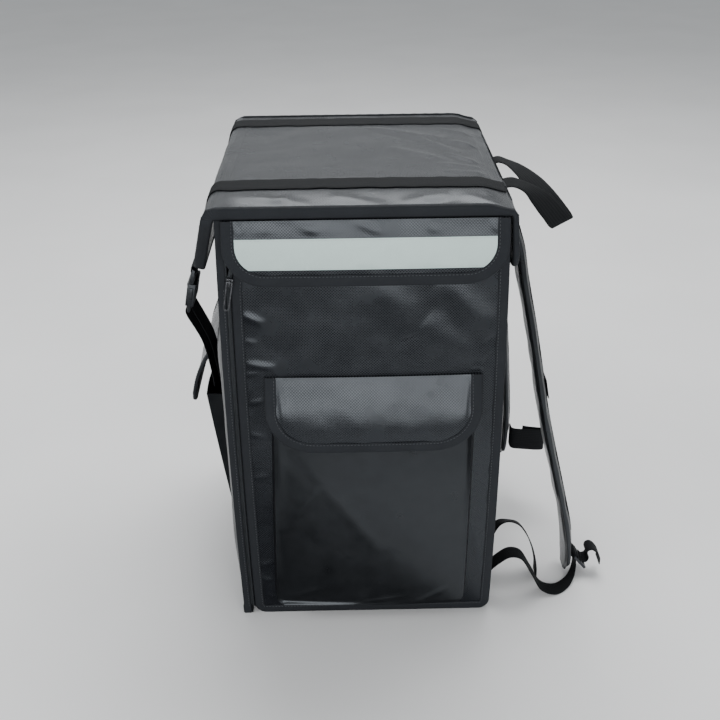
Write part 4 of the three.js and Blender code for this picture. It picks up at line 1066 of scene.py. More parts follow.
@dataclass(frozen=True)
class MouldedPlastic:
    """Moulded nylon with a fine spark-eroded texture, or dark painted metal."""

    name: str
    dark: Colour
    light: Colour
    gloss: tuple[float, float]
    grain: float
    rise: float
    metal: float = 0.0

    def build(self) -> Finish:
        """Return the material."""
        g = Graph(self.name)
        grain = g.noise(self.grain, 3.0)
        scuffs = g.noise(140.0, 5.0, 0.65)
        normal = g.bump(grain, self.rise)
        tone = g.math("MULTIPLY", g.spread(scuffs, 0.2, 1.0, 0.35, 0.7), g.spread(grain, 0.8, 1.0))
        g.shader.inputs["Metallic"].default_value = self.metal
        return g.finish(g.blend(tone, self.dark, self.light), g.spread(scuffs, *self.gloss), normal)


@dataclass(frozen=True)
class Materials:
    """Every finish of the pack."""

    coated: Finish
    satin: Finish
    ribbon: Finish
    webbing: Finish
    reflective: Finish
    plastic: Finish
    nylon: Finish
    metal: Finish
    thread: Finish
    light_thread: Finish

    @classmethod
    def build(cls) -> "Materials":
        """Make every material."""
        return cls(
            CoatedCloth().build(), SatinCloth().build(), Ribbon().build(), Webbing().build(),
            ReflectiveTape().build(),
            MouldedPlastic("moulded plastic", (0.005, 0.0055, 0.0065), (0.014, 0.015, 0.017), (0.32, 0.46),
                           1600.0, 0.04 * MM).build(),
            MouldedPlastic("zip nylon", (0.004, 0.0045, 0.005), (0.013, 0.014, 0.016), (0.45, 0.62),
                           2200.0, 0.06 * MM).build(),
            MouldedPlastic("painted metal", (0.03, 0.031, 0.034), (0.12, 0.122, 0.13), (0.26, 0.42),
                           700.0, 0.03 * MM, 0.75).build(),
            MouldedPlastic("sewing thread", (0.03, 0.032, 0.036), (0.09, 0.095, 0.1), (0.5, 0.65),
                           3000.0, 0.05 * MM).build(),
            MouldedPlastic("light thread", (0.3, 0.31, 0.32), (0.55, 0.56, 0.57), (0.5, 0.65), 3000.0,
                           0.05 * MM).build(),
        )


CASE = Case()
LID = LidShape(CASE)
CLEAR = 0.3 * MM
TAPE = 1 * MM
BUILD = CLEAR + TAPE
WEB = 1.5 * MM


def level(height: float) -> Height:
    """Return a height that is the same everywhere."""
    return lambda u, v: height + 0.0 * (u + v)


def seam(surface: Surface, path: Array, height: Height) -> tuple[Array, Array]:
    """Return a line of stitches on a surface: its points and the way it faces."""
    rise = height(path[:, 0], path[:, 1])
    at = surface(path[:, 0], path[:, 1], rise)
    out = surface(path[:, 0], path[:, 1], rise + MM) - at
    return at, out / np.linalg.norm(out, axis=1, keepdims=True)


def sew(stitches: Repeat, name: str, lines: Sequence[tuple[Array, Array]]) -> None:
    """Lay a row of stitches along lines and settle it."""
    settle(stitches.lay(name, lines, 4.4 * MM, 3.1 * MM, 0.62 * MM, 0.8 * MM), Slot.RIBBON)


def sew_rim(stitches: Repeat, name: str, path: Array, closed: bool, surface: Surface, face: Height,
            inset: float) -> None:
    """Sew along a folded ribbon, a little in from its inner edge.

    Args:
        stitches: Lays the threads.
        name: Name of the piece.
        path: Rim of the panel.
        closed: Whether the rim is a closed loop.
        surface: Gives points over the surface.
        face: Height of the panel's face.
        inset: Distance of the seam from the rim.
    """
    line = path + path_normals(path, closed) * inset
    if closed:
        line = np.vstack([line, line[:1]])

    def top(u: Array, v: Array) -> Array:
        """Return the height of the ribbon."""
        return face(u, v) + BUILD + 0.12 * MM

    sew(stitches, name, [seam(surface, line, top)])


@dataclass
class Part:
    """Sub-assembly with the finishes and the threads that it shares with the others."""

    materials: Materials
    stitches: Repeat

    def bind(self, stem: str, path: Array, closed: bool, surface: Surface, low: Height, high: Height,
             section: TapeSection, thick: float, seed: int, seam_in: float) -> None:
        """Fold ribbon round the rim of a panel and sew along it.

        Args:
            stem: Start of the names of the solid and of the pieces.
            path: Rim of the panel.
            closed: Whether the rim is a closed loop.
            surface: Gives points over the surface.
            low: Height of the panel's back.
            high: Height of the panel's face.
            section: Sizes of the ribbon.
            thick: Thickness of the panel.
            seed: Seed of the ribbon's puckers.
            seam_in: Distance of the seam from the ribbon's inner edge.
        """
        tape = ribbon_tape(f"{stem}_ribbon", path, closed, surface, low, high, section, thick,
                           self.materials.ribbon, seed)
        settle(tape, Slot.RIBBON, f"{stem}_binding")
        sew_rim(self.stitches, f"{stem}_stitches", path, closed, surface, high, section.width - seam_in)


@dataclass
class Flapped(Part):
    """Sub-assembly with a flap that hangs from its upper edge."""

    def low(self, u: Array, v: Array) -> Array:
        """Return the height of the flap's back."""
        raise NotImplementedError

    def high(self, u: Array, v: Array) -> Array:
        """Return the height of the flap's face."""
        return self.low(u, v) + self.flap_thickness

    def hang_flap(self, stem: str, node: str, outline: Outline, surface: Surface, step: float, relief: Relief,
                  seed: int, flat: tuple[float, float], rests_on: list[str], rows: Sequence[float] = ()) -> None:
        """Build the flap with its ribbon and stitches.

        Args:
            stem: Start of the names of the pieces.
            node: Solid that the cloth stands for.
            outline: Outline of the flap.
            surface: Gives points over the surface.
            step: Distance between mesh points.
            relief: Waves and creases of the face.
            seed: Seed of the ribbon's puckers.
            flat: Flat size of the cloth; not used.
            rests_on: Pieces that it lies against; not used.
            rows: Further rows that the mesh has to hold.
        """
        flap = cloth_panel(f"{stem}_cloth", outline, surface, self.low, self.high, self.materials.coated, step,
                           relief, rows)
        settle(flap, Slot.COATED, node)
        self.bind(stem, outline.rim(2.5 * MM), False, surface, self.low, self.high, TapeSection(self.tape_width),
                  self.flap_thickness, seed, 2.4 * MM)


@dataclass
class CaseShell(Part):
    """Padded walls, base and their ribbons."""

    step: float = 6 * MM
    tape_width: float = 12 * MM
    edge_width: float = 9.5 * MM
    left_puff: float = 6 * MM
    right_puff: float = 4 * MM

    def puff(self, along: Array, z: Array) -> Array:
        """Return how far the walls' cloth puffs out beside their front edges."""
        tall = ease((z - 30 * MM) / (90 * MM)) * ease((490 * MM - z) / (90 * MM))
        total = 0.0 * along
        for rise, away in ((self.left_puff, along), (self.right_puff, CASE.wrap_length - along)):
            total = total + rise * (1.0 - np.exp(-away / (8 * MM))) * (1.0 - ease((away - 12 * MM) / (50 * MM)))
        return total * tall

    def walls(self) -> Thing:
        """Build the wrap of left, rear and right walls."""
        outline = Outline(0.0, CASE.wrap_length, 0.0, CASE.height)
        creases = pleats(
            (40, 470, 16, 380, 6.0, 1.6), (60, 420, 24, 300, 8.0, 1.4), (70, 200, 20, 120, 8.0, 1.6),
            (360, 520, 330, 380, 14.0, 1.8), (1040, 480, 1080, 360, 12.0, 1.8), (1060, 240, 1110, 120, 12.0, 1.6),
            (470, 520, 500, 400, 14.0, 1.6), (720, 520, 690, 380, 14.0, 1.6), (480, 60, 540, 160, 12.0, 1.4),
            (730, 70, 670, 150, 12.0, 1.4),
        )
        relief = Relief(18 * MM, 150 * MM, 1.0 * MM, 7, creases, form=self.puff)
        piece = cloth_panel("case_walls", outline, CASE.wrap, level(-CASE.wall), level(0.0), self.materials.satin,
                            self.step, relief)
        return settle(piece, Slot.SMOOTH, "body_shell")

    def base(self) -> Thing:
        """Build the base board."""
        inner = 12.4 * MM
        along = np.linspace(CASE.door_back + CASE.depth / 2, CASE.wrap_length, 220)
        points, uv = [], []
        for z in (0.0, 4 * MM, 8 * MM, 12 * MM):
            ring = CASE.wrap(along, z + 0.0 * along, -inner + 0.0 * along)
            points.append(ring)
            uv.append(ring[:, :2])
        count = len(along)
        faces = [list(face) for face in grid_faces(4, count, 0, wrap=True)]
        faces += [list(range(count))[::-1], [3 * count + i for i in range(count)]]
        piece = build_mesh("base_board", np.concatenate(points), faces, np.concatenate(uv), self.materials.satin)
        return settle(piece, Slot.SMOOTH, "base_panel")

    def base_ribbon(self) -> Thing:
        """Build the ribbon round the foot of the walls."""
        outline = Outline(0.0, CASE.wrap_length, CLEAR, self.tape_width)
        piece = cloth_panel("base_ribbon", outline, CASE.wrap, level(CLEAR), level(BUILD), self.materials.ribbon,
                            2.4 * MM, Relief(3 * MM, 24 * MM, 0.12 * MM, 12))
        return settle(piece, Slot.RIBBON, "base_binding")

    def edge_ribbon(self) -> Thing:
        """Build the ribbon on the left wall's front edge."""
        left = -CASE.width / 2
        outline = Outline(left, left + self.edge_width, CLEAR, CASE.height - CLEAR)
        piece = cloth_panel("front_edge_ribbon", outline, CASE.front, level(CLEAR), level(BUILD),
                            self.materials.ribbon, 2 * MM, Relief(2 * MM, 30 * MM, 0.14 * MM, 15))
        return settle(piece, Slot.RIBBON, "front_edge_binding")

    def build(self) -> None:
        """Build every piece of the case."""
        self.walls()
        self.base()
        self.base_ribbon()
        self.edge_ribbon()
        across = np.linspace(6 * MM, CASE.wrap_length - 6 * MM, 500)
        path = np.column_stack([across, np.full(500, self.tape_width - 2.2 * MM)])
        upright = np.linspace(14 * MM, CASE.height - 90 * MM, 240)
        edge = np.column_stack([np.full(240, -CASE.width / 2 + self.edge_width - 2.2 * MM), upright])
        sew(self.stitches, "case_stitches", [seam(CASE.wrap, path, level(BUILD + 0.1 * MM)),
                                             seam(CASE.front, edge, level(BUILD + 0.1 * MM))])


@dataclass
class Door(Part):
    """Zipped front door with its ribbon."""

    thickness: float = 12 * MM
    tape_width: float = 12 * MM
    zip_gap: float = 5 * MM

    def outline(self) -> Outline:
        """Return the door's outline over its face."""
        return Outline(-(CASE.width / 2 - CASE.wall - self.zip_gap), CASE.width / 2 - BUILD, 1.6 * MM,
                       CASE.height - 4 * MM, 14 * MM, 14 * MM, 90 * MM, 14 * MM)

    def build(self) -> None:
        """Build the door and its ribbon."""
        creases = pleats(
            (-147, 472, -120, 458, 4.8, 2.3), (-147, 436, -130, 432, 3.2, 1.0), (-147, 404, -108, 398, 4.8, 2.2),
            (-147, 388, -126, 391, 3.2, 1.0), (-147, 346, -124, 352, 3.8, 1.3), (-147, 300, -127, 296, 3.4, 0.9),
            (-147, 232, -128, 236, 3.4, 0.8), (-147, 84, -128, 92, 4.4, 1.4), (-147, 62, -130, 58, 3.6, 1.1),
            (-140, 34, -128, 26, 3.6, 1.0), (-120, 20, -80, 16, 3.4, 0.8), (24, 520, 58, 440, 22.0, 3.2),
            (100, 516, 158, 436, 17.0, 3.4), (70, 456, 150, 404, 20.0, 2.6), (150, 330, 162, 250, 3.4, 0.8),
            (146, 150, 158, 60, 3.4, 0.8), (-116, 398, -40, 412, 14.0, 0.9), (150, 392, 134, 398, 3.4, 1.0),
        )
        outline = self.outline()
        back, face = level(-self.thickness), level(0.0)
        relief = Relief(16 * MM, 110 * MM, 0.5 * MM, 21, creases)
        panel = cloth_panel("door_cloth", outline, CASE.front, back, face, self.materials.coated, 2.5 * MM, relief)
        settle(panel, Slot.COATED, "door_panel")
        self.bind("door", outline.rim(4 * MM, True), True, CASE.front, back, face, TapeSection(self.tape_width),
                  self.thickness, 22, 2.2 * MM)


@dataclass
class Zip:
    """Coil zip round the door's left side, its large corner and its top."""

    materials: Materials
    door: Door
    teeth: Repeat

    def line(self, offset: float) -> Array:
        """Return the zip's line at an offset outside the door's outline."""
        shape = self.door.outline().inset_by(-offset, high=True)
        rim = shape.rim(1.5 * MM, True)
        middle = (shape.u0 + shape.u1) / 2
        low, top = 15.6 * MM, shape.v1
        upright = rim[(rim[:, 0] < middle) & (rim[:, 1] > low) & (rim[:, 1] < top - 1e-5)]
        head = rim[rim[:, 1] >= top - 1e-5]
        head = head[np.argsort(head[:, 0])]
        return np.vstack([upright[np.argsort(upright[:, 1])], head])

    def band(self, name: str, near: Array, far: Array, low: float, high: float, node: str) -> Thing:
        """Build a flat band between two lines on the door's face.

        Args:
            name: Name of the piece.
            near: Line of its inner edge.
            far: Line of its outer edge, with as many points.
            low: Height of its back.
            high: Height of its face.
            node: Solid that it stands for.

        Returns:
            The new piece.
        """
        shares = np.linspace(0.0, 1.0, 5)
        flat = near[:, None, :] * (1 - shares[None, :, None]) + far[:, None, :] * shares[None, :, None]
        arch = np.array([0.35, 1.0, 1.0, 1.0, 0.35])[None, :] * (high - low)
        top = CASE.front(flat[..., 0], flat[..., 1], low + arch)
        bottom = CASE.front(flat[..., 0], flat[..., 1], low + 0 * flat[..., 0])[:, ::-1]
        across = np.concatenate([shares, shares[::-1]]) * 8 * MM
        piece = tube(name, np.concatenate([top, bottom], axis=1), distances(near), across, self.materials.nylon, 50.0)
        return settle(piece, Slot.NYLON, node)

    def build(self) -> None:
        """Build the tape, the coil and its teeth."""
        near = self.line(1.6 * MM)
        far = restep(resample(self.line(1.6 * MM + 5.5 * MM), 1.5 * MM), len(near))
        far[:, 0] = np.maximum(far[:, 0], -CASE.width / 2 + 9.8 * MM)
        far[:, 1] = np.minimum(far[:, 1], CASE.height - CLEAR)
        self.band("zip_tape_cloth", near, far, CLEAR, BUILD, "zip_tape")
        inner = self.line(2.3 * MM)
        outer = restep(self.line(3.9 * MM), len(inner))
        self.band("zip_coil_core", inner, outer, BUILD + CLEAR, 2.4 * MM, "zip_coil")
        middle = self.line(3.1 * MM)
        line = CASE.front(middle[:, 0], middle[:, 1], 2.2 * MM + 0 * middle[:, 0])
        coil = self.teeth.lay("zip_teeth", [(line, np.array([0.0, -1.0, 0.0]))], 1.5 * MM, 1.05 * MM, 3.0 * MM,
                              1.3 * MM)
        settle(coil, Slot.NYLON)


@dataclass
class Lid(Part):
    """Padded saddle lid with its ribbon and the two webbings over it."""

    thickness: float = 12 * MM
    tape_width: float = 6 * MM
    left_drop: float = 86 * MM
    yoke_drop: float = 70 * MM
    taper_front: float = 50 * MM
    taper_rear: float = 12 * MM
    web_width: float = 38 * MM
    front_web_y: float = -128 * MM
    rear_web_y: float = 168 * MM

    @property
    def hem(self) -> float:
        """Return where the left flap ends along the lid."""
        return LID.run(-1, self.left_drop)

    @property
    def yoke_hem(self) -> float:
        """Return where the yoke ends along the lid."""
        return LID.run(1, self.yoke_drop)

    def outline(self) -> Outline:
        """Return the lid's outline, along its depth and its section."""
        top = LID.run(-1, self.tape_width)

        def taper(s: Array) -> Array:
            """Return the share of the taper at a distance along the section."""
            return np.maximum(0.0, (top - s) / (top - self.hem))

        return Outline(
            -CASE.depth / 2 - 4 * MM, CASE.depth / 2 + 3 * MM, self.hem, self.yoke_hem, 22 * MM, 22 * MM,
            28 * MM, 22 * MM, lambda s: self.taper_front * taper(s), lambda s: self.taper_rear * taper(s),
        )

    def arc_rows(self) -> list[float]:
        """Return rows close together round the lid's two corners."""
        rows: list[float] = []
        for side in (-1, 1):
            rows.extend(side * np.linspace(LID.flat, LID.arc_end(side), 9))
            rows.extend(side * (LID.flat - np.linspace(5.0, 14.0, 10) * MM))
        return rows

    def cloth(self) -> Thing:
        """Build the padded saddle."""
        creases = pleats(
            (135, 10, 70, 122, 9.0, 1.8), (108, 20, 44, 100, 7.0, -1.2), (98, 70, -16, 140, 8.0, 2.0),
            (72, 96, 10, 150, 6.0, -1.4), (30, 40, -50, 128, 9.0, 1.7), (0, 112, -46, 156, 5.0, 1.9),
            (-46, 96, -68, 156, 6.0, 1.6), (132, 112, 88, 160, 6.0, 1.7), (60, 128, 30, 162, 5.0, 1.5),
            (-80, 110, -92, 160, 6.0, 1.2), (-196, -165, 196, -165, 1.5, 0.7), (-196, 163, 140, 163, 1.5, 0.7),
            (-166, -150, -188, -60, 9.0, 2.2), (-168, -40, -196, 30, 10.0, 2.4), (-190, 44, -166, 104, 9.0, 2.2),
            (-170, 120, -194, 160, 8.0, 2.0), (-184, -110, -166, -84, 6.0, 1.4), (-196, 72, -180, 118, 6.0, -1.4),
        )
        quiet = ((0, self.front_web_y - 20 * MM, self.front_web_y + 20 * MM),
                 (0, self.rear_web_y - 20 * MM, self.rear_web_y + 20 * MM),
                 (1, LID.flat - 2 * MM, self.yoke_hem))

        def droop(y: Array, s: Array) -> Array:
            """Return how the front of the top sinks towards its edge."""
            share = ease((-149 * MM - y) / (54 * MM))
            return -6.5 * MM * share * ease((LID.flat - np.abs(s)) / (30 * MM))

        relief = Relief(12 * MM, 130 * MM, 0.45 * MM, 31, creases, quiet, droop)
        piece = cloth_panel("lid_cloth", self.outline(), LID.point, level(0.0), LID.face,
                            self.materials.coated, 3.2 * MM, relief, self.arc_rows())
        return settle(piece, Slot.COATED, "lid")

    def top_webbing(self, place: str, y: float, end: float, buckle: "Buckle") -> Thing:
        """Build one webbing from the yoke over the top to a buckle's upper bar."""
        rest = self.thickness + CLEAR + WEB / 2
        over = self.thickness + BUILD + CLEAR + WEB / 2

        def on_lid(s: float, height: float) -> list[float]:
            """Return x and z of a place on the lid without its crown."""
            point = LID.point(np.array(y), np.array(s), np.array(height))
            lift = LID.crown * bell(2 * point[0] / CASE.width) * bell(2 * y / CASE.depth)
            return [float(point[0]), float(point[2] - lift)]

        arc = np.linspace(LID.flat, LID.arc_end(-1), 7)
        right = list(np.linspace(LID.arc_end(1), LID.flat, 7)) if end > LID.arc_end(1) else [LID.flat]
        past = self.tape_width + 2 * MM
        over_yoke = [end, *right, *np.linspace(LID.flat, -LID.flat, 60)[1:-1]]
        points = [on_lid(s, float(LID.pad(np.array(s))) + rest - self.thickness) for s in over_yoke]
        points += [on_lid(-s, rest) for s in arc]
        points += [on_lid(self.hem + 2 * past, rest), on_lid(self.hem + past, over), on_lid(self.hem - MM, over)]
        points += [buckle.at(buckle.male_bar - MM, buckle.turn)]
        points += buckle.round_bar(buckle.male_bar + buckle.bar, 1, 1)
        points += [buckle.at(buckle.male_bar - 2 * MM, -buckle.turn)]

        def lift(x: Array, yy: Array) -> Array:
            """Return the lid's crown."""
            return LID.crown * bell(2 * x / CASE.width) * bell(2 * yy / CASE.depth)

        line = resample(np.array(points), 1.2 * MM)
        piece = plane_webbing(f"top_web_{place}", line, y, self.web_width, WEB, self.materials.webbing, lift,
                              0.9 * MM, 33)
        return settle(piece, Slot.WEBBING, f"top_webbing_{place}")

    def build(self) -> None:
        """Build the lid with its ribbon, its webbings and the buckles below them."""
        self.cloth()
        self.bind("lid", self.outline().rim(3 * MM, True), True, LID.point, level(0.0), LID.face,
                  TapeSection(self.tape_width, roll=3 * MM), self.thickness, 32, 1.6 * MM)
        buckle = Buckle(self.materials, self)
        for place, y, end in (("front", self.front_web_y, LID.upper - MM),
                              ("rear", self.rear_web_y, self.yoke_hem - self.tape_width - MM)):
            self.top_webbing(place, y, end, buckle)
        for place, y in (("front", self.front_web_y), ("rear", self.rear_web_y)):
            buckle.halves(place, y)
            buckle.strap(place, y)


def rounded_block(mesh: bmesh.types.BMesh, place: Matrix, size: Sequence[float], radius: float) -> None:
    """Add a moulded block with rounded edges.

    Args:
        mesh: What it is added to.
        place: Its middle and axes.
        size: Its lengths along those axes.
        radius: Radius of its edges.
    """
    made = bmesh.ops.create_cube(mesh, size=1.0, matrix=place @ Matrix.Diagonal((*size, 1.0)))
    edges = dict.fromkeys(edge for vert in made["verts"] for edge in vert.link_edges)
    bmesh.ops.bevel(mesh, geom=list(edges), offset=radius, offset_type="OFFSET", segments=3, profile=0.5,
                    affect="EDGES")


def in_order(shape: bmesh.types.BMesh) -> bmesh.types.BMesh:
    """Number a mesh anew by place, because a bevel numbers its points differently from run to run.

    Args:
        shape: The mesh, which is freed.

    Returns:
        The same points and faces in an order that each run gives.
    """
    points = sorted(shape.verts, key=lambda vert: tuple(vert.co))
    rank = {vert: number for number, vert in enumerate(points)}
    rings = []
    for face in shape.faces:
        ring = [rank[vert] for vert in face.verts]
        first = ring.index(min(ring))
        rings.append(ring[first:] + ring[:first])
    ordered = bmesh.new()
    made = [ordered.verts.new(vert.co) for vert in points]
    for ring in sorted(rings):
        ordered.faces.new([made[number] for number in ring])
    shape.free()
    return ordered


Block = tuple[Matrix, tuple[float, float, float], float]


def moulding(node: str, name: str, material: Finish, slot: Slot, radius: float,
             blocks: Sequence[Block] = (), body: str = BODY) -> Thing:
    """Make a moulded part from a solid's shape, with rounded edges and added ribs.

    Args:
        node: The solid.
        name: Name of the piece.
        material: Its finish.
        slot: Its material slot, passed to settle, which does not use it.
        radius: Radius of its edges.
        blocks: Ribs and prongs: place, size and edge radius of each.
        body: What it rides on.

    Returns:
        The new piece.
    """
    shape = bmesh.new()
    shape.from_mesh(frame["nodes"][node].data)
    bmesh.ops.remove_doubles(shape, verts=shape.verts, dist=2e-6)
    bmesh.ops.dissolve_limit(shape, angle_limit=math.radians(2), verts=shape.verts, edges=shape.edges)
    sharp = [edge for edge in shape.edges
             if len(edge.link_faces) == 2 and edge.calc_face_angle(0.0) > math.radians(30)]
    bmesh.ops.bevel(shape, geom=sharp, offset=radius, offset_type="OFFSET", segments=3, profile=0.5,
                    affect="EDGES", clamp_overlap=True)
    for place, size, rounding in blocks:
        rounded_block(shape, place, size, rounding)
    shape = in_order(shape)
    bmesh.ops.recalc_face_normals(shape, faces=shape.faces)
    for face in shape.faces:
        face.smooth = True
    for edge in shape.edges:
        edge.smooth = len(edge.link_faces) != 2 or edge.calc_face_angle(0.0) < math.radians(40)
    mesh = bpy.data.meshes.new(name)
    shape.to_mesh(mesh)
    shape.free()
    mesh.materials.append(material)
    return settle(show(name, mesh), slot, node, body=body)


@dataclass
class Buckle:
    """Side-release buckle below the lid's left flap, with its sewn strap."""

    materials: Materials
    lid: Lid
    lean: float = math.radians(11)
    frame: float = 4 * MM
    bar: float = 4 * MM
    slot: float = 4.6 * MM
    male_bar: float = 5 * MM
    male_body: float = 10 * MM
    female_body: float = 31 * MM
    gap: float = 0.5 * MM
    width: float = 50 * MM
    thick: float = 11 * MM
    anchor_low: float = 300 * MM
    anchor_high: float = 324 * MM
    tail_stand: float = 4 * MM

    def place(self, across: float, down: float, out: float) -> Matrix:
        """Return the place of a block in the buckle's own frame."""
        x, z = self.at(down, out)
        turn = Matrix(((0, -math.sin(self.lean), -math.cos(self.lean)), (1, 0, 0),
                       (0, -math.cos(self.lean), math.sin(self.lean))))
        return Matrix.Translation((x, across, z)) @ turn.to_4x4()

    def halves(self, place: str, y: float) -> None:
        """Build both moulded halves with prongs, a raised panel and grip ribs."""
        male = self.male_bar + self.bar + self.slot
        female = male + self.male_body + self.gap
        plastic = self.materials.plastic
        face = self.thick / 2
        ribs: list[Block] = [
            (self.place(y, female + (9 + 4 * i) * MM, way * face), (26 * MM, 1.7 * MM, 1.2 * MM), 0.5 * MM)
            for i in range(4) for way in (-1, 1)]
        sides: list[Block] = [
            (self.place(y + way * self.width / 2, female + 13.5 * MM, 0.0), (2.6 * MM, 17 * MM, 5.4 * MM), 1.1 * MM)
            for way in (-1, 1)]
        collar: list[Block] = [
            (self.place(y, female + 2 * MM, way * face), (self.width - 5 * MM, 3 * MM, 1.2 * MM), 0.5 * MM)
            for way in (-1, 1)]
        moulding(f"buckle_female_{place}", f"buckle_socket_{place}", plastic, Slot.PLASTIC, 1.1 * MM,
                 ribs + sides + collar)
        steps: list[Block] = [
            (self.place(y, male + (3 + 3 * i) * MM, way * self.frame / 2), (30 * MM, 1.4 * MM, 1.0 * MM), 0.4 * MM)
            for i in range(2) for way in (-1, 1)]
        moulding(f"buckle_male_{place}", f"buckle_plug_{place}", plastic, Slot.PLASTIC, 0.8 * MM, steps)

    @property
    def turn(self) -> float:
        """Return the radius of webbing turned round a bar."""
        return self.frame / 2 + 2 * CLEAR + WEB / 2

    @property
    def female_bar(self) -> float:
        """Return where the lower bar starts below the hem."""
        start = self.male_bar + self.bar + self.slot + self.male_body + self.gap
        return start + self.female_body + self.slot

    def at(self, down: float, out: float) -> list[float]:
        """Return x and z of a place in the buckle's own frame."""
        rest = self.lid.thickness + CLEAR + WEB / 2
        hem = LID.point(np.array(0.0), np.array(self.lid.hem), np.array(rest))
        x = float(hem[0]) - math.sin(self.lean) * down - math.cos(self.lean) * out
        z = float(hem[2]) - math.cos(self.lean) * down + math.sin(self.lean) * out
        return [x, z]

    def round_bar(self, edge: float, way: int, side: int) -> list[list[float]]:
        """Return points of webbing round a bar, from one face to the other."""
        turns = np.linspace(0.0, math.pi, 13)
        return [self.at(edge + way * self.turn * math.sin(t), side * self.turn * math.cos(t)) for t in turns]

    def strap(self, place: str, y: float) -> Thing:
        """Build the strap from the wall to the lower bar, with its tail."""
        edges = np.array([y - self.lid.web_width / 2, y + self.lid.web_width / 2])
        wall = -float(CASE.side_reach(edges, self.anchor_high + 0 * edges).max()) - CLEAR - WEB / 2
        end = self.at(self.female_bar + self.bar, 0.0)
        drop, swell = end[1] - self.anchor_high, end[0] - wall

        def away(share: float, down: float, stand: float = 0.0) -> list[float]:
            """Return x and z at shares of the way out and down from the lower bar."""
            return [wall + swell * share - stand, self.anchor_high + drop * (1 - down)]

        points = [[wall, self.anchor_low], [wall, self.anchor_high], away(0.2, 0.78), away(0.42, 0.36)]
        points += self.round_bar(self.female_bar, -1, -1)
        points += [self.at(self.female_bar + self.bar + 3 * MM, self.turn + 0.4 * MM)]
        points += [away(0.56, 0.36, self.tail_stand), away(0.34, 0.76, self.tail_stand)]
        points += [away(0.3, 0.9, self.tail_stand)]
        piece = plane_webbing(f"buckle_web_{place}", turned_line(points, 1.5 * MM), y, self.lid.web_width, WEB,
                              self.materials.webbing)
        return settle(piece, Slot.WEBBING, f"buckle_strap_{place}")


@dataclass
class FrontFlap(Flapped):
    """Flap over the top of the door with its reflective strip."""

    light_stitches: Repeat
    drop: float = 80 * MM
    corner: float = 50 * MM
    flap_thickness: float = 2.6 * MM
    hang: float = 5 * MM
    tape_width: float = 14 * MM
    strip_width: float = 38 * MM
    strip_rise: float = 20.5 * MM
    strip_thickness: float = 0.5 * MM
    left: float = -166 * MM
    right: float = 172 * MM

    @property
    def top(self) -> float:
        """Return the height of the flap's fold."""
        return LID.inner - BUILD - CLEAR

    def low(self, x: Array, z: Array) -> Array:
        """Return the height of the flap's back over the door."""
        return 4.7 * MM + self.hang * bulge((self.top - z) / self.drop) + 0.0 * x

    def outline(self) -> Outline:
        """Return the flap's outline."""
        return Outline(self.left, self.right, self.top - self.drop, self.top, self.corner, self.corner)

    def build(self) -> None:
        """Build the flap, its ribbon and its strip."""
        outline = self.outline()
        base = self.top - self.drop + self.strip_rise
        creases = pleats(
            (-152, 593, -146, 572, 2.2, 1.1), (-138, 592, -143, 576, 2.0, 0.8), (-10, 594, 30, 570, 5.0, 0.9),
            (-80, 594, -50, 574, 6.0, 0.7), (70, 594, 90, 574, 5.0, 0.6), (150, 593, 158, 573, 2.6, 1.1),
        )
        quiet = ((1, base - MM, base + self.strip_width + MM),)
        self.hang_flap("front_flap", "front_flap", outline, CASE.front, 2.6 * MM,
                       Relief(6 * MM, 70 * MM, 0.3 * MM, 41, creases, quiet), 42,
                       (self.right - self.left, self.drop), ["door_cloth"])
        within = outline.inset_by(self.tape_width + 0.6 * MM)

        def corner(v: Array) -> Array:
            """Return how far the flap's rounded corners draw the strip in."""
            return Outline.inset(within.start_low, v - within.v0)

        def under(x: Array, z: Array) -> Array:
            """Return the height of the strip's back."""
            return self.high(x, z) + CLEAR + 0.25 * MM

        def over(x: Array, z: Array) -> Array:
            """Return the height of the strip's face."""
            return under(x, z) + self.strip_thickness

        def thread(x: Array, z: Array) -> Array:
            """Return the height of the strip's stitches."""
            return over(x, z) + 0.1 * MM

        strip = Outline(within.u0, within.u1, base, base + self.strip_width, lean_start=corner, lean_end=corner)
        piece = cloth_panel("reflective_band", strip, CASE.front, under, over, self.materials.reflective,
                            2.6 * MM, Relief(4 * MM, 46 * MM, 0.22 * MM, 43))
        settle(piece, Slot.REFLECTIVE, "reflective_strip")
        lines = []
        for v in (base + 2 * MM, base + self.strip_width - 2 * MM):
            ends = (float(strip.start(np.array(v))) + 2 * MM, float(strip.end(np.array(v))) - 2 * MM)
            path = np.column_stack([np.linspace(*ends, 200), np.full(200, v)])
            lines.append(seam(CASE.front, path, thread))
        sew(self.light_stitches, "strip_stitches", lines)


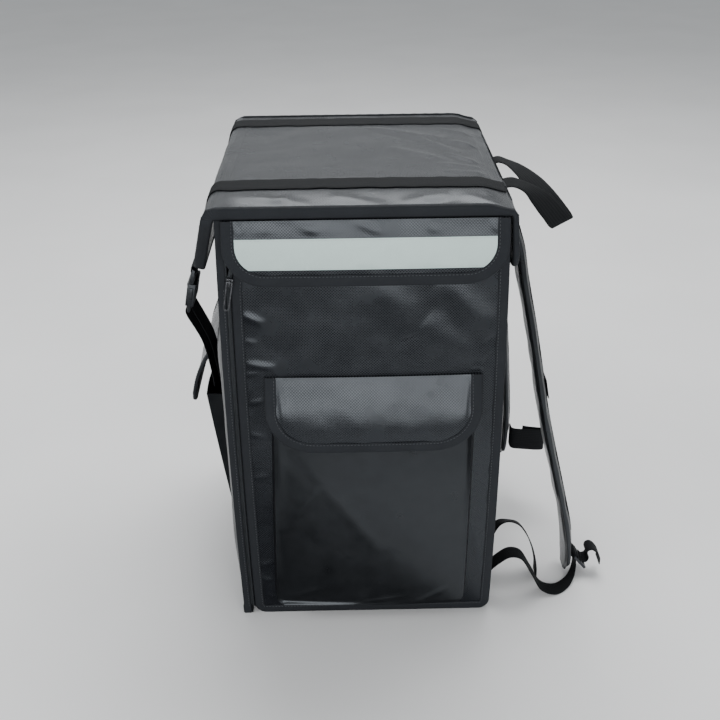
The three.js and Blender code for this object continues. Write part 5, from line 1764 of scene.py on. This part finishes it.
@dataclass
class FrontPocket(Flapped):
    """Flapped pocket on the door."""

    left: float = -129 * MM
    right: float = 139 * MM
    bottom: float = 28 * MM
    top: float = 345 * MM
    lean: float = 12 * MM
    depth_low: float = 18 * MM
    depth_high: float = 9 * MM
    crown: float = 3 * MM
    wall: float = 2 * MM
    taper: float = 4 * MM
    corner: float = 14 * MM
    flap_shift: float = 6 * MM
    flap_top: float = 386 * MM
    flap_bottom: float = 287 * MM
    flap_radius: float = 58 * MM
    flap_thickness: float = 2.4 * MM
    flap_reach: float = 18 * MM
    tape_width: float = 13 * MM

    def depth(self, x: Array, z: Array) -> Array:
        """Return how far the pocket stands off the door."""
        rise = np.clip((z - self.bottom) / (self.top - self.bottom), 0.0, 1.0)
        middle, half = (self.left + self.right) / 2, (self.right - self.left) / 2
        return self.depth_low + (self.depth_high - self.depth_low) * rise + self.crown * bell((x - middle) / half)

    def pouch(self) -> Thing:
        """Build the open-topped pouch."""
        creases = pleats(
            (-110, 40, -60, 60, 4.0, 0.9), (-118, 150, -60, 230, 6.0, 1.1), (-20, 30, 60, 44, 3.4, 0.8),
            (70, 30, 120, 60, 3.6, 0.9), (-100, 300, 20, 120, 11.0, 1.2), (100, 280, 128, 200, 5.0, 0.8),
        )

        def lean(z: Array) -> Array:
            """Return how far the left side leans in."""
            return self.lean * (z - self.bottom) / (self.top - self.bottom)

        return pouch("pocket_cloth", self.materials, CASE.front, (self.left, self.right, self.bottom, self.top),
                     self.depth, self.wall, self.taper, self.corner, 3.2 * MM,
                     Relief(16 * MM, 110 * MM, 0.35 * MM, 51, creases, form=self.ridge), lean)

    def ridge(self, x: Array, z: Array) -> Array:
        """Return the fall of the face on both sides of the long slanting fold that its board has."""
        first, last = np.array([-112 * MM, 262 * MM]), np.array([132 * MM, 34 * MM])
        way = (last - first) / np.linalg.norm(last - first)
        along = (x - first[0]) * way[0] + (z - first[1]) * way[1]
        away = (z - first[1]) * way[0] - (x - first[0]) * way[1]
        soft = 3 * MM + 0.05 * np.clip(along, 0.0, 400 * MM)
        fall = np.sqrt(away * away + soft * soft) - soft
        return 1.2 * MM - np.minimum(np.where(away > 0, 0.034, 0.03) * fall, 6 * MM)

    def low(self, x: Array, z: Array) -> Array:
        """Return the height of the flap's back."""
        share = (self.flap_top - z) / (self.flap_top - self.flap_bottom)
        return 1.6 * MM + self.flap_reach * bulge(share) + 0.0 * x

    def build(self) -> None:
        """Build the pouch, the flap and its ribbon."""
        piece = settle(self.pouch(), Slot.SMOOTH, "pocket_body")
        span, tall = self.right - self.left, self.top - self.bottom
        outline = Outline(self.left + self.flap_shift, self.right + self.flap_shift, self.flap_bottom,
                          self.flap_top, self.flap_radius, self.flap_radius)
        creases = pleats(
            (-106, 384, -100, 326, 3.6, 1.7), (128, 384, 122, 322, 3.6, 1.7), (-60, 384, -52, 356, 5.0, 0.5),
            (40, 384, 50, 356, 5.0, 0.5),
        )
        self.hang_flap("pocket_flap", "pocket_flap", outline, CASE.front, 2.6 * MM,
                       Relief(10 * MM, 70 * MM, 0.35 * MM, 52, creases), 53,
                       (span, self.flap_top - self.flap_bottom), ["door_cloth", "pocket_cloth"])


def pouch(name: str, materials: Materials, surface: Surface, area: tuple[float, float, float, float],
          depth: Height, wall: float, taper: float, corner: float, step: float, relief: Relief,
          lean: Callable[[Array], Array] = straight) -> Thing:
    """Make an open-topped pouch sewn to a surface: a face, three gussets and the space behind.

    Args:
        name: Name of the piece.
        materials: Every finish.
        surface: The surface it is sewn to.
        area: Its limits in u and v.
        depth: How far its face stands off.
        wall: Thickness of its cloth.
        taper: How far its sides lean in.
        corner: Radius of its lower corners.
        step: Distance between mesh points.
        relief: Waves and creases of its face.
        lean: How far its start side leans in at a height.

    Returns:
        The new piece.
    """
    outline = Outline(*area, corner, corner, lean_start=lean)
    rows = outline.rows(step)
    columns = int(round((area[1] - area[0]) / step))
    share = np.linspace(0.0, 1.0, columns + 1)[None, :]
    v = rows[:, None] + 0.0 * share
    middle, half = (area[0] + area[1]) / 2, (area[1] - area[0]) / 2
    layers, flats = [], []
    ledge = 5
    for skin in (0, 1):
        draw = 0.0 if skin == 0 else wall
        shape = outline if skin == 0 else Outline(
            area[0] + wall, area[1] - wall, area[2] + wall, area[3], corner - wall, corner - wall,
            lean_start=lean)
        vv = np.clip(v, shape.v0, None)
        start, end = shape.start(vv), shape.end(vv)
        u = start + (end - start) * share
        edge = np.minimum(np.minimum(u - start, end - u), vv - shape.v0)
        for i in range(ledge + 1):
            part = i / ledge
            full = depth(u, vv) - draw
            height = CLEAR + (full - CLEAR) * part
            if i == ledge:
                height = height + relief.height(u, vv, edge)
            draw_in = 1.0 - taper / half * part
            layers.append(surface(middle + (u - middle) * draw_in, vv, height))
            flats.append(np.stack([u + np.sign(share - 0.5) * (1 - part) * full, vv], axis=-1))
    wide, tall = columns + 1, len(rows)
    count = wide * tall

    def rim(layer: int) -> Array:
        """Return point numbers along the sewn rim of a layer, down one side, along and up."""
        base = layer * count
        down = base + np.arange(tall - 1, 0, -1) * wide
        foot = base + np.arange(wide)
        up = base + np.arange(1, tall) * wide + wide - 1
        return np.concatenate([down, foot, up])

    faces: list[Array] = []
    for skin, first in ((0, 0), (1, ledge + 1)):
        for i in range(ledge):
            a, b = rim(first + i), rim(first + i + 1)
            faces.append(np.stack([a[:-1], a[1:], b[1:], b[:-1]], axis=-1))
        faces.append(grid_faces(tall, wide, (first + ledge) * count))
    a, b = rim(0), rim(ledge + 1)
    faces.append(np.stack([a[:-1], a[1:], b[1:], b[:-1]], axis=-1))
    outer, inner = ledge * count, (2 * ledge + 1) * count
    top_out = outer + (tall - 1) * wide + np.arange(wide)
    top_in = inner + (tall - 1) * wide + np.arange(wide)
    faces.append(np.stack([top_out[:-1], top_out[1:], top_in[1:], top_in[:-1]], axis=-1))
    for corner_at in (0, wide - 1):
        for i in range(ledge):
            row = (tall - 1) * wide + corner_at
            faces.append(np.array([[i * count + row, (i + 1) * count + row,
                                    (ledge + 2 + i) * count + row, (ledge + 1 + i) * count + row]]))
    points = np.concatenate([layer.reshape(-1, 3) for layer in layers])
    uv = np.concatenate([flat.reshape(-1, 2) for flat in flats])
    used = np.unique(np.concatenate(faces))
    renumber = np.full(len(points), -1)
    renumber[used] = np.arange(len(used))
    return build_mesh(name, points[used], renumber[np.concatenate(faces)], uv[used], materials.satin, 55.0)


@dataclass
class SidePocket(Flapped):
    """Flapped pocket on the left wall."""

    front: float = -100 * MM
    rear: float = 140 * MM
    bottom: float = 84 * MM
    top: float = 297 * MM
    reach: float = 37 * MM
    low_share: float = 0.34
    hem_share: float = 0.4
    round_height: float = 24 * MM
    corner: float = 14 * MM
    flap_top: float = 392 * MM
    flap_length: float = 112 * MM
    flap_reach: float = 52 * MM
    flap_curl: float = 0.8
    flap_thickness: float = 2.4 * MM
    flap_overlap: float = 3 * MM
    flap_radius: float = 30 * MM
    tape_width: float = 13 * MM

    def depth(self, y: Array, z: Array) -> Array:
        """Return how far the pocket stands off the wall."""
        rise = np.clip((z - self.bottom) / (self.top - self.bottom), 0.0, 1.0)
        turn = np.clip((z - self.bottom) / self.round_height, 0.0, 1.0)
        hem = np.sqrt(1 - (1 - turn) ** 2)
        return self.reach * (self.low_share + (1 - self.low_share) * rise) * (
            self.hem_share + (1 - self.hem_share) * hem) + 0.0 * y

    def low(self, y: Array, z: Array) -> Array:
        """Return the height of the flap's back."""
        share = np.clip((self.flap_top - z) / self.flap_length, 0.0, 1.0)
        return 1.6 * MM + self.flap_reach * np.sin(share * math.pi / 2) ** self.flap_curl + 0.0 * y

    def build(self) -> None:
        """Build the pouch, the flap and its ribbon."""
        creases = pleats((-80, 120, 20, 150, 6.0, 1.2), (40, 200, 110, 150, 7.0, 1.1))
        piece = pouch("side_pocket_cloth", self.materials, CASE.left,
                      (self.front, self.rear, self.bottom, self.top), self.depth, 2 * MM, 4 * MM, self.corner,
                      3.2 * MM, Relief(16 * MM, 80 * MM, 0.9 * MM, 61, creases))
        settle(piece, Slot.SMOOTH, "side_pocket")
        span, tall = self.rear - self.front, self.top - self.bottom
        over = self.flap_overlap
        outline = Outline(self.front - over, self.rear + over, self.flap_top - self.flap_length, self.flap_top,
                          self.flap_radius, self.flap_radius)
        rows = list(self.flap_top - self.flap_radius * np.linspace(0.0, 1.0, 14) ** 2)
        self.hang_flap("side_flap", "side_pocket_flap", outline, CASE.left, 2.8 * MM,
                       Relief(10 * MM, 70 * MM, 0.6 * MM, 62), 63, (span + 2 * over, self.flap_length + 22 * MM),
                       ["case_walls", "side_pocket_cloth"], rows)


@dataclass
class WearingSide(Part):
    """Padded shoulder straps on the right wall, with their webbing, tabs and yoke patches."""

    near_y: float = -125 * MM
    far_y: float = 100 * MM
    width: float = 60 * MM
    thickness: float = 12 * MM
    point: float = 0.5
    web: float = 25 * MM
    wide_web: float = 38 * MM
    anchor_drop: float = 22 * MM
    anchor_width: float = 58 * MM
    anchor_bulge: float = 6 * MM
    lock_lean: float = math.radians(40)
    lock_hang: float = 6 * MM
    lock_stand: float = 3 * MM
    lock_length: float = 26 * MM
    lock_thickness: float = 4 * MM
    lock_bar: float = 4 * MM
    lock_slot: float = 4.6 * MM
    near_shape: tuple[tuple[float, float, float], ...] = (
        (0, 1, 0.55), (0.05, 0.957, 0.75), (0.1, 0.915, 1), (0.168, 0.842, 1), (0.31, 0.712, 1),
        (0.443, 0.577, 1), (0.548, 0.471, 1), (0.691, 0.353, 1), (0.849, 0.226, 1), (0.949, 0.138, 1),
        (1, 0.048, 0.8), (0.985, 0, 0.45),
    )
    far_shape: tuple[tuple[float, float, float], ...] = (
        (0, 1, 0.55), (0.13, 0.941, 0.75), (0.24, 0.891, 1), (0.37, 0.811, 1), (0.54, 0.651, 1),
        (0.74, 0.465, 1), (0.86, 0.338, 1), (1, 0.138, 1), (0.98, 0.042, 0.8), (0.92, 0, 0.45),
    )
    tail_curl: tuple[tuple[float, float], ...] = (
        (-5, 0), (1, 0.3), (3, 5), (-1, 11), (-6, 12), (-11, 17), (-9, 23), (0, 25), (11, 23), (20, 16),
    )

    @property
    def anchor_run(self) -> float:
        """Return where the yoke patches end along the lid."""
        return LID.run(1, self.anchor_drop - LID.radius)

    def line(self, shape: Sequence[tuple[float, float, float]], reach: float, foot: float,
             count: int) -> Array:
        """Return a strap's middle line: x, z and padding.

        Args:
            shape: Shares of reach, height and padding along the strap.
            reach: How far it stands out from its root.
            foot: Height of its lower end.
            count: Number of points.

        Returns:
            Rows of x, z and padding.
        """
        stand = float(LID.pad(np.array(self.anchor_run))) + 2 * CLEAR + self.thickness * 0.3
        start = LID.point(np.array(0.0), np.array(self.anchor_run), np.array(stand))
        top = float(start[2]) - 0.8 * MM
        rows = [(float(start[0]) + reach * out, foot + (top - foot) * up, pad * self.thickness)
                for out, up, pad in shape]
        return smooth_line(np.array(rows), count)

    def padding(self, place: str, y: float, line: Array) -> Thing:
        """Build one padded strap with a raised middle and drawn-in edges."""
        normals = path_normals(line[:, :2], False)
        lengths = distances(line[:, :2])
        share = np.linspace(0.0, 1.0, len(line))
        half = self.width / 2 * (1 - self.point * ease((share - 0.92) / 0.08))
        around = np.linspace(0.0, 2 * math.pi, 45)[:-1]
        sx = np.sign(np.cos(around)) * np.abs(np.cos(around)) ** 0.42
        sy = np.sign(np.sin(around)) * np.abs(np.sin(around)) ** 0.72
        piping = 1.0 - 0.34 * np.exp(-((np.abs(sx) - 0.86) / 0.07) ** 2)
        ring = []
        for a in range(len(around)):
            pad = line[:, 2] / 2 * sy[a] * piping[a]
            pucker = ripple(lengths, 0 * lengths + sx[a] * 30 * MM, 34 * MM, 0.45 * MM, 71 + (y > 0)) * sy[a]
            pad = pad + pucker * ease(share * 12) * ease((1 - share) * 12)
            ring.append(stack(line[:, 0] + normals[:, 0] * pad, y + sx[a] * half, line[:, 1] + normals[:, 1] * pad))
        piece = tube(f"strap_padding_{place}", np.stack(ring, axis=1), lengths, sx * self.width / 2,
                     self.materials.satin, 70.0)
        settle(piece, Slot.SMOOTH, f"shoulder_strap_{place}")
        lines = []
        outward = np.column_stack([normals[:, 0], 0 * share, normals[:, 1]])
        for way in (-1, 1):
            lift = line[:, 2] / 2 * 0.72 * (1 - 0.34)
            at = stack(line[:, 0] + normals[:, 0] * lift, y + way * 0.86 * half, line[:, 1] + normals[:, 1] * lift)
            lines.append((at[6:-6], outward[6:-6]))
        sew(self.stitches, f"strap_stitches_{place}", lines)
        return piece

    def on_face(self, line: Array, low: int, high: int, stand: float, step: float = 2 * MM) -> Array:
        """Return a line on a strap's outer face between two of its twenty-five marks."""
        normals = path_normals(line[:, :2], False)
        outer = line[:, :2] + normals * (line[:, 2:3] / 2 + stand)
        marks = (len(line) - 1) / 24
        return resample(outer[int(low * marks):int(high * marks) + 1], step)

    def strap(self, place: str, y: float, shape: Sequence[tuple[float, float, float]], reach: float,
              foot: float) -> Array:
        """Build one strap with its webbing and yoke patch, and return its line."""
        line = self.line(shape, reach, foot, 193)
        self.padding(place, y, line)
        stand = CLEAR + WEB / 2
        web = plane_webbing(f"strap_web_{place}", self.on_face(line, 2, 20, stand), y, self.web, WEB,
                            self.materials.webbing, seed=74)
        settle(web, Slot.WEBBING, f"strap_webbing_{place}")
        outline = Outline(y - self.anchor_width / 2, y + self.anchor_width / 2, LID.upper, self.anchor_run)

        def under(u: Array, s: Array) -> Array:
            """Return the height of the back, just off the lid."""
            return LID.pad(s) + CLEAR + 0.0 * u

        def over(u: Array, s: Array) -> Array:
            """Return the height of the face."""
            rise = ease((s - LID.upper) / (self.anchor_run - LID.upper))
            return under(u, s) + WEB + (self.anchor_bulge - WEB) * rise

        patch = cloth_panel(f"yoke_patch_{place}", outline, LID.point, under, over, self.materials.coated,
                            2 * MM, Relief(5 * MM, 26 * MM, 0.4 * MM, 75))
        settle(patch, Slot.COATED, f"strap_anchor_{place}")
        return line

    def build(self) -> None:
        """Build both straps and the near strap's hardware webbing."""
        line = self.strap("near", self.near_y, self.near_shape, 112 * MM, 10 * MM)
        self.strap("far", self.far_y, self.far_shape, 46 * MM, 74 * MM)
        y, stand = self.near_y, CLEAR + WEB / 2
        keeper = plane_webbing("strap_keeper_band", self.on_face(line, 11, 12, stand + WEB + CLEAR, 1.2 * MM), y,
                               self.wide_web, WEB, self.materials.webbing, seed=76)
        settle(keeper, Slot.WEBBING, "strap_keeper_near")
        start = self.on_face(line, 21, 22, stand)
        down = np.array([math.sin(self.lock_lean), -math.cos(self.lock_lean)])
        out = np.array([math.cos(self.lock_lean), math.sin(self.lock_lean)])
        top = start[-1] + down * self.lock_hang + out * self.lock_stand

        def in_lock(along: float, off: float) -> Array:
            """Return x and z of a place in the strap lock's own frame."""
            return top + down * along + out * off

        turn = self.lock_thickness / 2 + 2 * CLEAR + WEB / 2
        turns = np.linspace(0.0, math.pi, 13)
        bend = [in_lock(self.lock_bar + turn * math.sin(t), -turn * math.cos(t)) for t in turns]
        tab = np.array([start[0], start[-1], *bend, in_lock(-3 * MM, turn)])
        piece = plane_webbing("strap_tab_web", resample(tab, 1.2 * MM), y, self.web, WEB, self.materials.webbing,
                              wave=0.1 * MM, seed=77)
        settle(piece, Slot.WEBBING, "strap_tab_near")
        low_slot = self.lock_length - self.lock_bar - self.lock_slot
        tail = [in_lock(low_slot + along * MM, turn + off * MM) for along, off in self.tail_curl]
        piece = plane_webbing("strap_tail_web", turned_line(tail, 1.2 * MM), y, self.web, WEB,
                              self.materials.webbing, wave=0.1 * MM, seed=78)
        settle(piece, Slot.WEBBING, "webbing_tail_near")


@dataclass
class LooseWebbing:
    """Webbing that lies about the wearing side, and the chest tab."""

    materials: Materials
    near_y: float = -125 * MM
    web: float = 25 * MM
    wide_web: float = 38 * MM
    near_loop: tuple[float, float, float] = (140 * MM, 50 * MM, 67 * MM)
    far_loop: tuple[float, float, float] = (80 * MM, 275 * MM, 81 * MM)
    chest_tab: tuple[float, float, float] = (119 * MM, 206 * MM, 114 * MM)
    near_rows: tuple[tuple[float, ...], ...] = (
        (0.016, -0.8, 0.22, 0, 1, 0), (0.021, -0.8, 0.51, 0, 1, 0), (0.14, -0.86, 0.85, 0, 1, 0),
        (0.24, -0.9, 1, 0, 1, 0), (0.343, -0.9, 0.948, 0, 1, 0), (0.461, -0.94, 0.56, 0, 1, 0),
        (0.579, -1.02, 0.15, 0, 1, 0), (0.729, -1, 0.027, 0, 1, 0), (0.871, -0.72, 0.036, 0, 1, 0),
        (0.957, -0.36, 0.104, 0, 1, 0), (0.993, -0.08, 0.224, 0, 1, 0), (0.996, 0, 0.328, 0, 1, 0),
    )
    far_rows: tuple[tuple[float, ...], ...] = (
        (0.034, 1, 0.32, 0, 0, -1), (0.058, 0.855, 0.32, 0, 0, -1), (0.188, 0.6, 0.247, 0, 0, -1),
        (0.2, 0.345, 0.222, 0, 0, -1), (0.175, 0.164, 0.272, 0, -0.5, -0.85), (0.163, 0.076, 0.519, 0, -1, -0.3),
        (0.213, 0.055, 0.79, 0, -1, 0), (0.325, 0.047, 0.963, 0, -0.95, 0.3), (0.475, 0.044, 1, 0, -0.89, 0.46),
        (0.663, 0.04, 0.944, 0, -0.92, 0.4), (0.825, 0.029, 0.741, 0, -0.95, 0.3),
        (0.95, 0.011, 0.444, 0, -0.98, 0.2), (1, -0.018, 0.185, 0, -1, 0), (0.988, -0.047, 0.037, 0, -1, 0),
    )
    tab_rows: tuple[tuple[float, ...], ...] = (
        (0.555, 1, 1, 0, 0, -1), (0.571, 0.932, 1, 0, 0, -1), (0.756, 0.903, 1, 0, 0, -1),
        (0.975, 0.893, 1, 0, 0, -1), (1, 0.908, 1, 0, 0, -1), (0.966, 0.922, 1, 0, 0, -1),
        (0.824, 0.932, 1.018, 0, 0.1, -1), (0.706, 0.942, 1.044, 0, 0.2, -1),
    )

    def run(self, name: str, loop: tuple[float, float, float], rows: Sequence[tuple[float, ...]], width: float,
            node: str) -> Thing:
        """Build one run of loose webbing from its table."""
        table = np.array(rows, float)
        reach, spread, rise = loop
        at = stack(CASE.width / 2 + reach * table[:, 0], self.near_y + spread * table[:, 1], rise * table[:, 2])
        way = table[:, 3:] / np.linalg.norm(table[:, 3:], axis=1, keepdims=True) * width
        curve = smooth_line(np.hstack([at, way]), 220)
        piece = webbing(name, curve[:, :3], curve[:, 3:], WEB, self.materials.webbing, 0.12 * MM, 81)
        return settle(piece, Slot.WEBBING, node)

    def build(self) -> None:
        """Build the three runs."""
        self.run("loose_web_near", self.near_loop, self.near_rows, self.web, "lower_webbing_near")
        self.run("loose_web_far", self.far_loop, self.far_rows, self.web, "lower_webbing_far")
        self.run("chest_tab_web", self.chest_tab, self.tab_rows, self.wide_web, "chest_tab_far")


@dataclass
class Handle:
    """Folded grab handle on the yoke."""

    materials: Materials
    width: float = 38 * MM
    thickness: float = 2 * MM
    reach: float = 85 * MM
    drop: float = 60 * MM
    front: float = -76 * MM
    rear: float = 62 * MM
    depth: float = 27 * MM
    stations: tuple[tuple[float, ...], ...] = (
        (0, 0.13, 0.02, 0, 0.7, 0.1), (0.11, 0.14, 0.04, 0.25, 0.85, 0.09), (0.25, 0.15, 0, 0.36, 0.95, -0.04),
        (0.45, 0.165, -0.14, 0.56, 0.94, -0.09), (0.66, 0.18, -0.4, 0.8, 0.92, 0.04),
        (0.96, 0.19, -0.9, 0.9, 0.78, 0.12), (1.02, 0.225, -0.98, 0.9, 0.78, 0.12),
        (0.98, 0.26, -0.88, 0.9, 0.78, 0.12), (0.76, 0.34, -0.47, 0.82, 0.9, 0.1), (0.56, 0.5, -0.19, 0.7, 1, 0.02),
        (0.38, 0.66, -0.03, 0.4, 1.05, -0.02), (0.22, 0.78, 0.05, 0.18, 1.02, -0.1),
        (0.1, 0.85, 0.07, 0.1, 0.95, -0.05), (0, 0.87, 0.02, 0, 0.75, 0),
    )

    def build(self) -> None:
        """Build the handle and the band that it is sewn to."""
        outline = Outline(self.front, self.rear, LID.upper, LID.run(1, self.depth))

        def under(u: Array, s: Array) -> Array:
            """Return the height of the back, just off the lid."""
            return LID.pad(s) + CLEAR + 0.0 * u

        def over(u: Array, s: Array) -> Array:
            """Return the height of the face."""
            return under(u, s) + WEB

        base = cloth_panel("handle_band", outline, LID.point, under, over,
                           self.materials.webbing, 1.8 * MM, Relief(4 * MM, 30 * MM, 0.18 * MM, 91))
        settle(base, Slot.WEBBING, "handle_base")
        run = np.array(LID.run(1, self.depth / 2 - 2 * MM))
        root = LID.point(np.array(0.0), run, over(run, run) + CLEAR)
        table = np.array(self.stations)
        at = stack(float(root[0]) + self.reach * table[:, 0], self.front + (self.rear - self.front) * table[:, 1],
                   float(root[2]) + self.drop * table[:, 2])
        curve = smooth_line(np.hstack([at, table[:, 3:] * self.width]), 240)
        piece = webbing("handle_web", curve[:, :3], curve[:, 3:], self.thickness, self.materials.webbing, 0.2 * MM,
                        92)
        settle(piece, Slot.WEBBING, "grab_handle")


@dataclass
class Hardware:
    """Strap lock, zip slider and zip pull."""

    materials: Materials

    def build(self) -> None:
        """Build the three small hard parts."""
        moulding("ladder_lock_near", "strap_lock", self.materials.plastic, Slot.PLASTIC, 0.8 * MM)
        moulding("zip_slider", "zip_slider_body", self.materials.metal, Slot.METAL, 0.5 * MM)
        moulding("zip_pull", "zip_pull_loop", self.materials.metal, Slot.METAL, 0.35 * MM, body=PULL_BODY)


@dataclass
class Stage:
    """Pale floor, studio light and the camera."""

    camera_at: tuple[float, float, float] = (-17.77 * MM, -1361.62 * MM, 1005.92 * MM)
    yaw: float = 0.0107
    pitch: float = 0.4806
    roll: float = -0.0119
    focal: float = 51.61
    horizon: tuple[float, ...] = (-0.03, 0.0, 0.02, 1.0)
    ceiling: tuple[float, ...] = (0.1, 0.32, 1.0, 0.42)
    lamps: tuple[tuple[str, tuple[float, ...], tuple[float, ...], tuple[float, float], float], ...] = (
        ("overhead", (0.3, 1.1, 2.6), (0.0, 0.1, 0.3), (2.4, 1.4), 80.0),
        ("left", (-2.2, -0.9, 1.6), (-0.1, -0.1, 0.3), (1.2, 1.2), 20.0),
        ("front", (0.1, -2.7, 0.72), (0.0, 0.0, 0.5), (3.0, 1.3), 64.0),
        ("rear", (-0.3, 2.6, 1.95), (0.0, 0.0, 0.6), (2.3, 0.3), 2.0),
    )

    def camera(self) -> None:
        """Place the camera where the photograph was taken."""
        data = bpy.data.cameras.new("camera")
        data.lens, data.sensor_width, data.sensor_fit = self.focal, 36.0, "HORIZONTAL"
        data.clip_start, data.clip_end = 0.05, 60.0
        camera = show("camera", data)
        cy, sy, cp, sp = math.cos(self.yaw), math.sin(self.yaw), math.cos(self.pitch), math.sin(self.pitch)
        ahead = Vector((sy * cp, cy * cp, -sp))
        right = Vector((cy, -sy, 0.0))
        up = right.cross(ahead)
        across = right * math.cos(self.roll) + up * math.sin(self.roll)
        over = up * math.cos(self.roll) - right * math.sin(self.roll)
        turn = Matrix((across, over, -ahead)).transposed().to_4x4()
        camera.matrix_world = Matrix.Translation(self.camera_at) @ turn
        bpy.context.scene.camera = camera

    def floor(self) -> None:
        """Lay the pale floor."""
        g = Graph("pale floor")
        cloud = g.noise(3.0, 3.0)
        g.finish(g.blend(g.spread(cloud, 0.0, 1.0), (0.8, 0.8, 0.8), (0.84, 0.84, 0.84)),
                 g.spread(cloud, 0.6, 0.7), g.bump(g.noise(200.0), 0.05 * MM))
        size, near, far, left, right, ahead = 60.0, -0.2, -0.82, -0.344, 0.19, -2.4
        shown = ((left, far), (size, far), (size, size), (-size, size), (-size, near), (right, near))
        dull = ((-size, ahead), (size, ahead), (size, far), (left, far), (right, near), (-size, near))
        front = ((-size, -size), (size, -size), (size, ahead), (-size, ahead))
        for name, corners, glossy in (("floor", shown, True), ("floor_middle", dull, False),
                                      ("floor_front", front, True)):
            mesh = bpy.data.meshes.new(name)
            mesh.from_pydata([(x, y, 0.0) for x, y in corners], [], [tuple(range(len(corners)))])
            mesh.materials.append(g.material)
            piece = show(name, mesh)
            piece.visible_glossy = glossy

    def lamp(self, name: str, at: Sequence[float], toward: Sequence[float], size: tuple[float, float],
             power: float) -> None:
        """Hang one softbox."""
        data = bpy.data.lights.new(name, "AREA")
        data.shape, data.size, data.size_y, data.energy = "RECTANGLE", size[0], size[1], power
        lamp = show(name, data)
        lamp.location = at
        lamp.rotation_euler = (Vector(toward) - Vector(at)).to_track_quat("-Z", "Y").to_euler()

    def build(self) -> None:
        """Set the stage."""
        self.camera()
        self.floor()
        self.studio()
        for lamp in self.lamps:
            self.lamp(*lamp)

    def studio(self) -> None:
        """Light the room evenly above the floor, less near its ceiling, and leave it dark below."""
        world = bpy.data.worlds.new("studio")
        world.use_nodes = True
        nodes, links = world.node_tree.nodes, world.node_tree.links
        split, both, back = nodes.new("ShaderNodeSeparateXYZ"), nodes.new("ShaderNodeMath"), nodes["Background"]
        both.operation = "MULTIPLY"
        links.new(nodes.new("ShaderNodeTexCoord").outputs["Generated"], split.inputs[0])
        for place, numbers in enumerate((self.horizon, self.ceiling)):
            ramp = nodes.new("ShaderNodeMapRange")
            for socket, number in enumerate(numbers, 1):
                ramp.inputs[socket].default_value = number
            links.new(split.outputs[2], ramp.inputs[0])
            links.new(ramp.outputs[0], both.inputs[place])
        links.new(both.outputs[0], back.inputs["Strength"])
        back.inputs["Color"].default_value = (0.95, 0.98, 1.0, 1.0)
        bpy.context.scene.world = world


def main() -> None:
    logging.basicConfig(level=logging.INFO, format="%(message)s")
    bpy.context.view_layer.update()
    Stage().build()
    materials = Materials.build()
    stitches = Repeat("stitches", materials.thread)
    teeth = Repeat("zip teeth", materials.nylon)
    light = Repeat("light stitches", materials.light_thread)
    door = Door(materials, stitches)
    parts = (
        CaseShell(materials, stitches), door, Zip(materials, door, teeth), Lid(materials, stitches),
        FrontFlap(materials, stitches, light), FrontPocket(materials, stitches), SidePocket(materials, stitches),
        WearingSide(materials, stitches),
        LooseWebbing(materials), Handle(materials), Hardware(materials),
    )
    for part in parts:
        part.build()


if __name__ == "__main__":
    main()
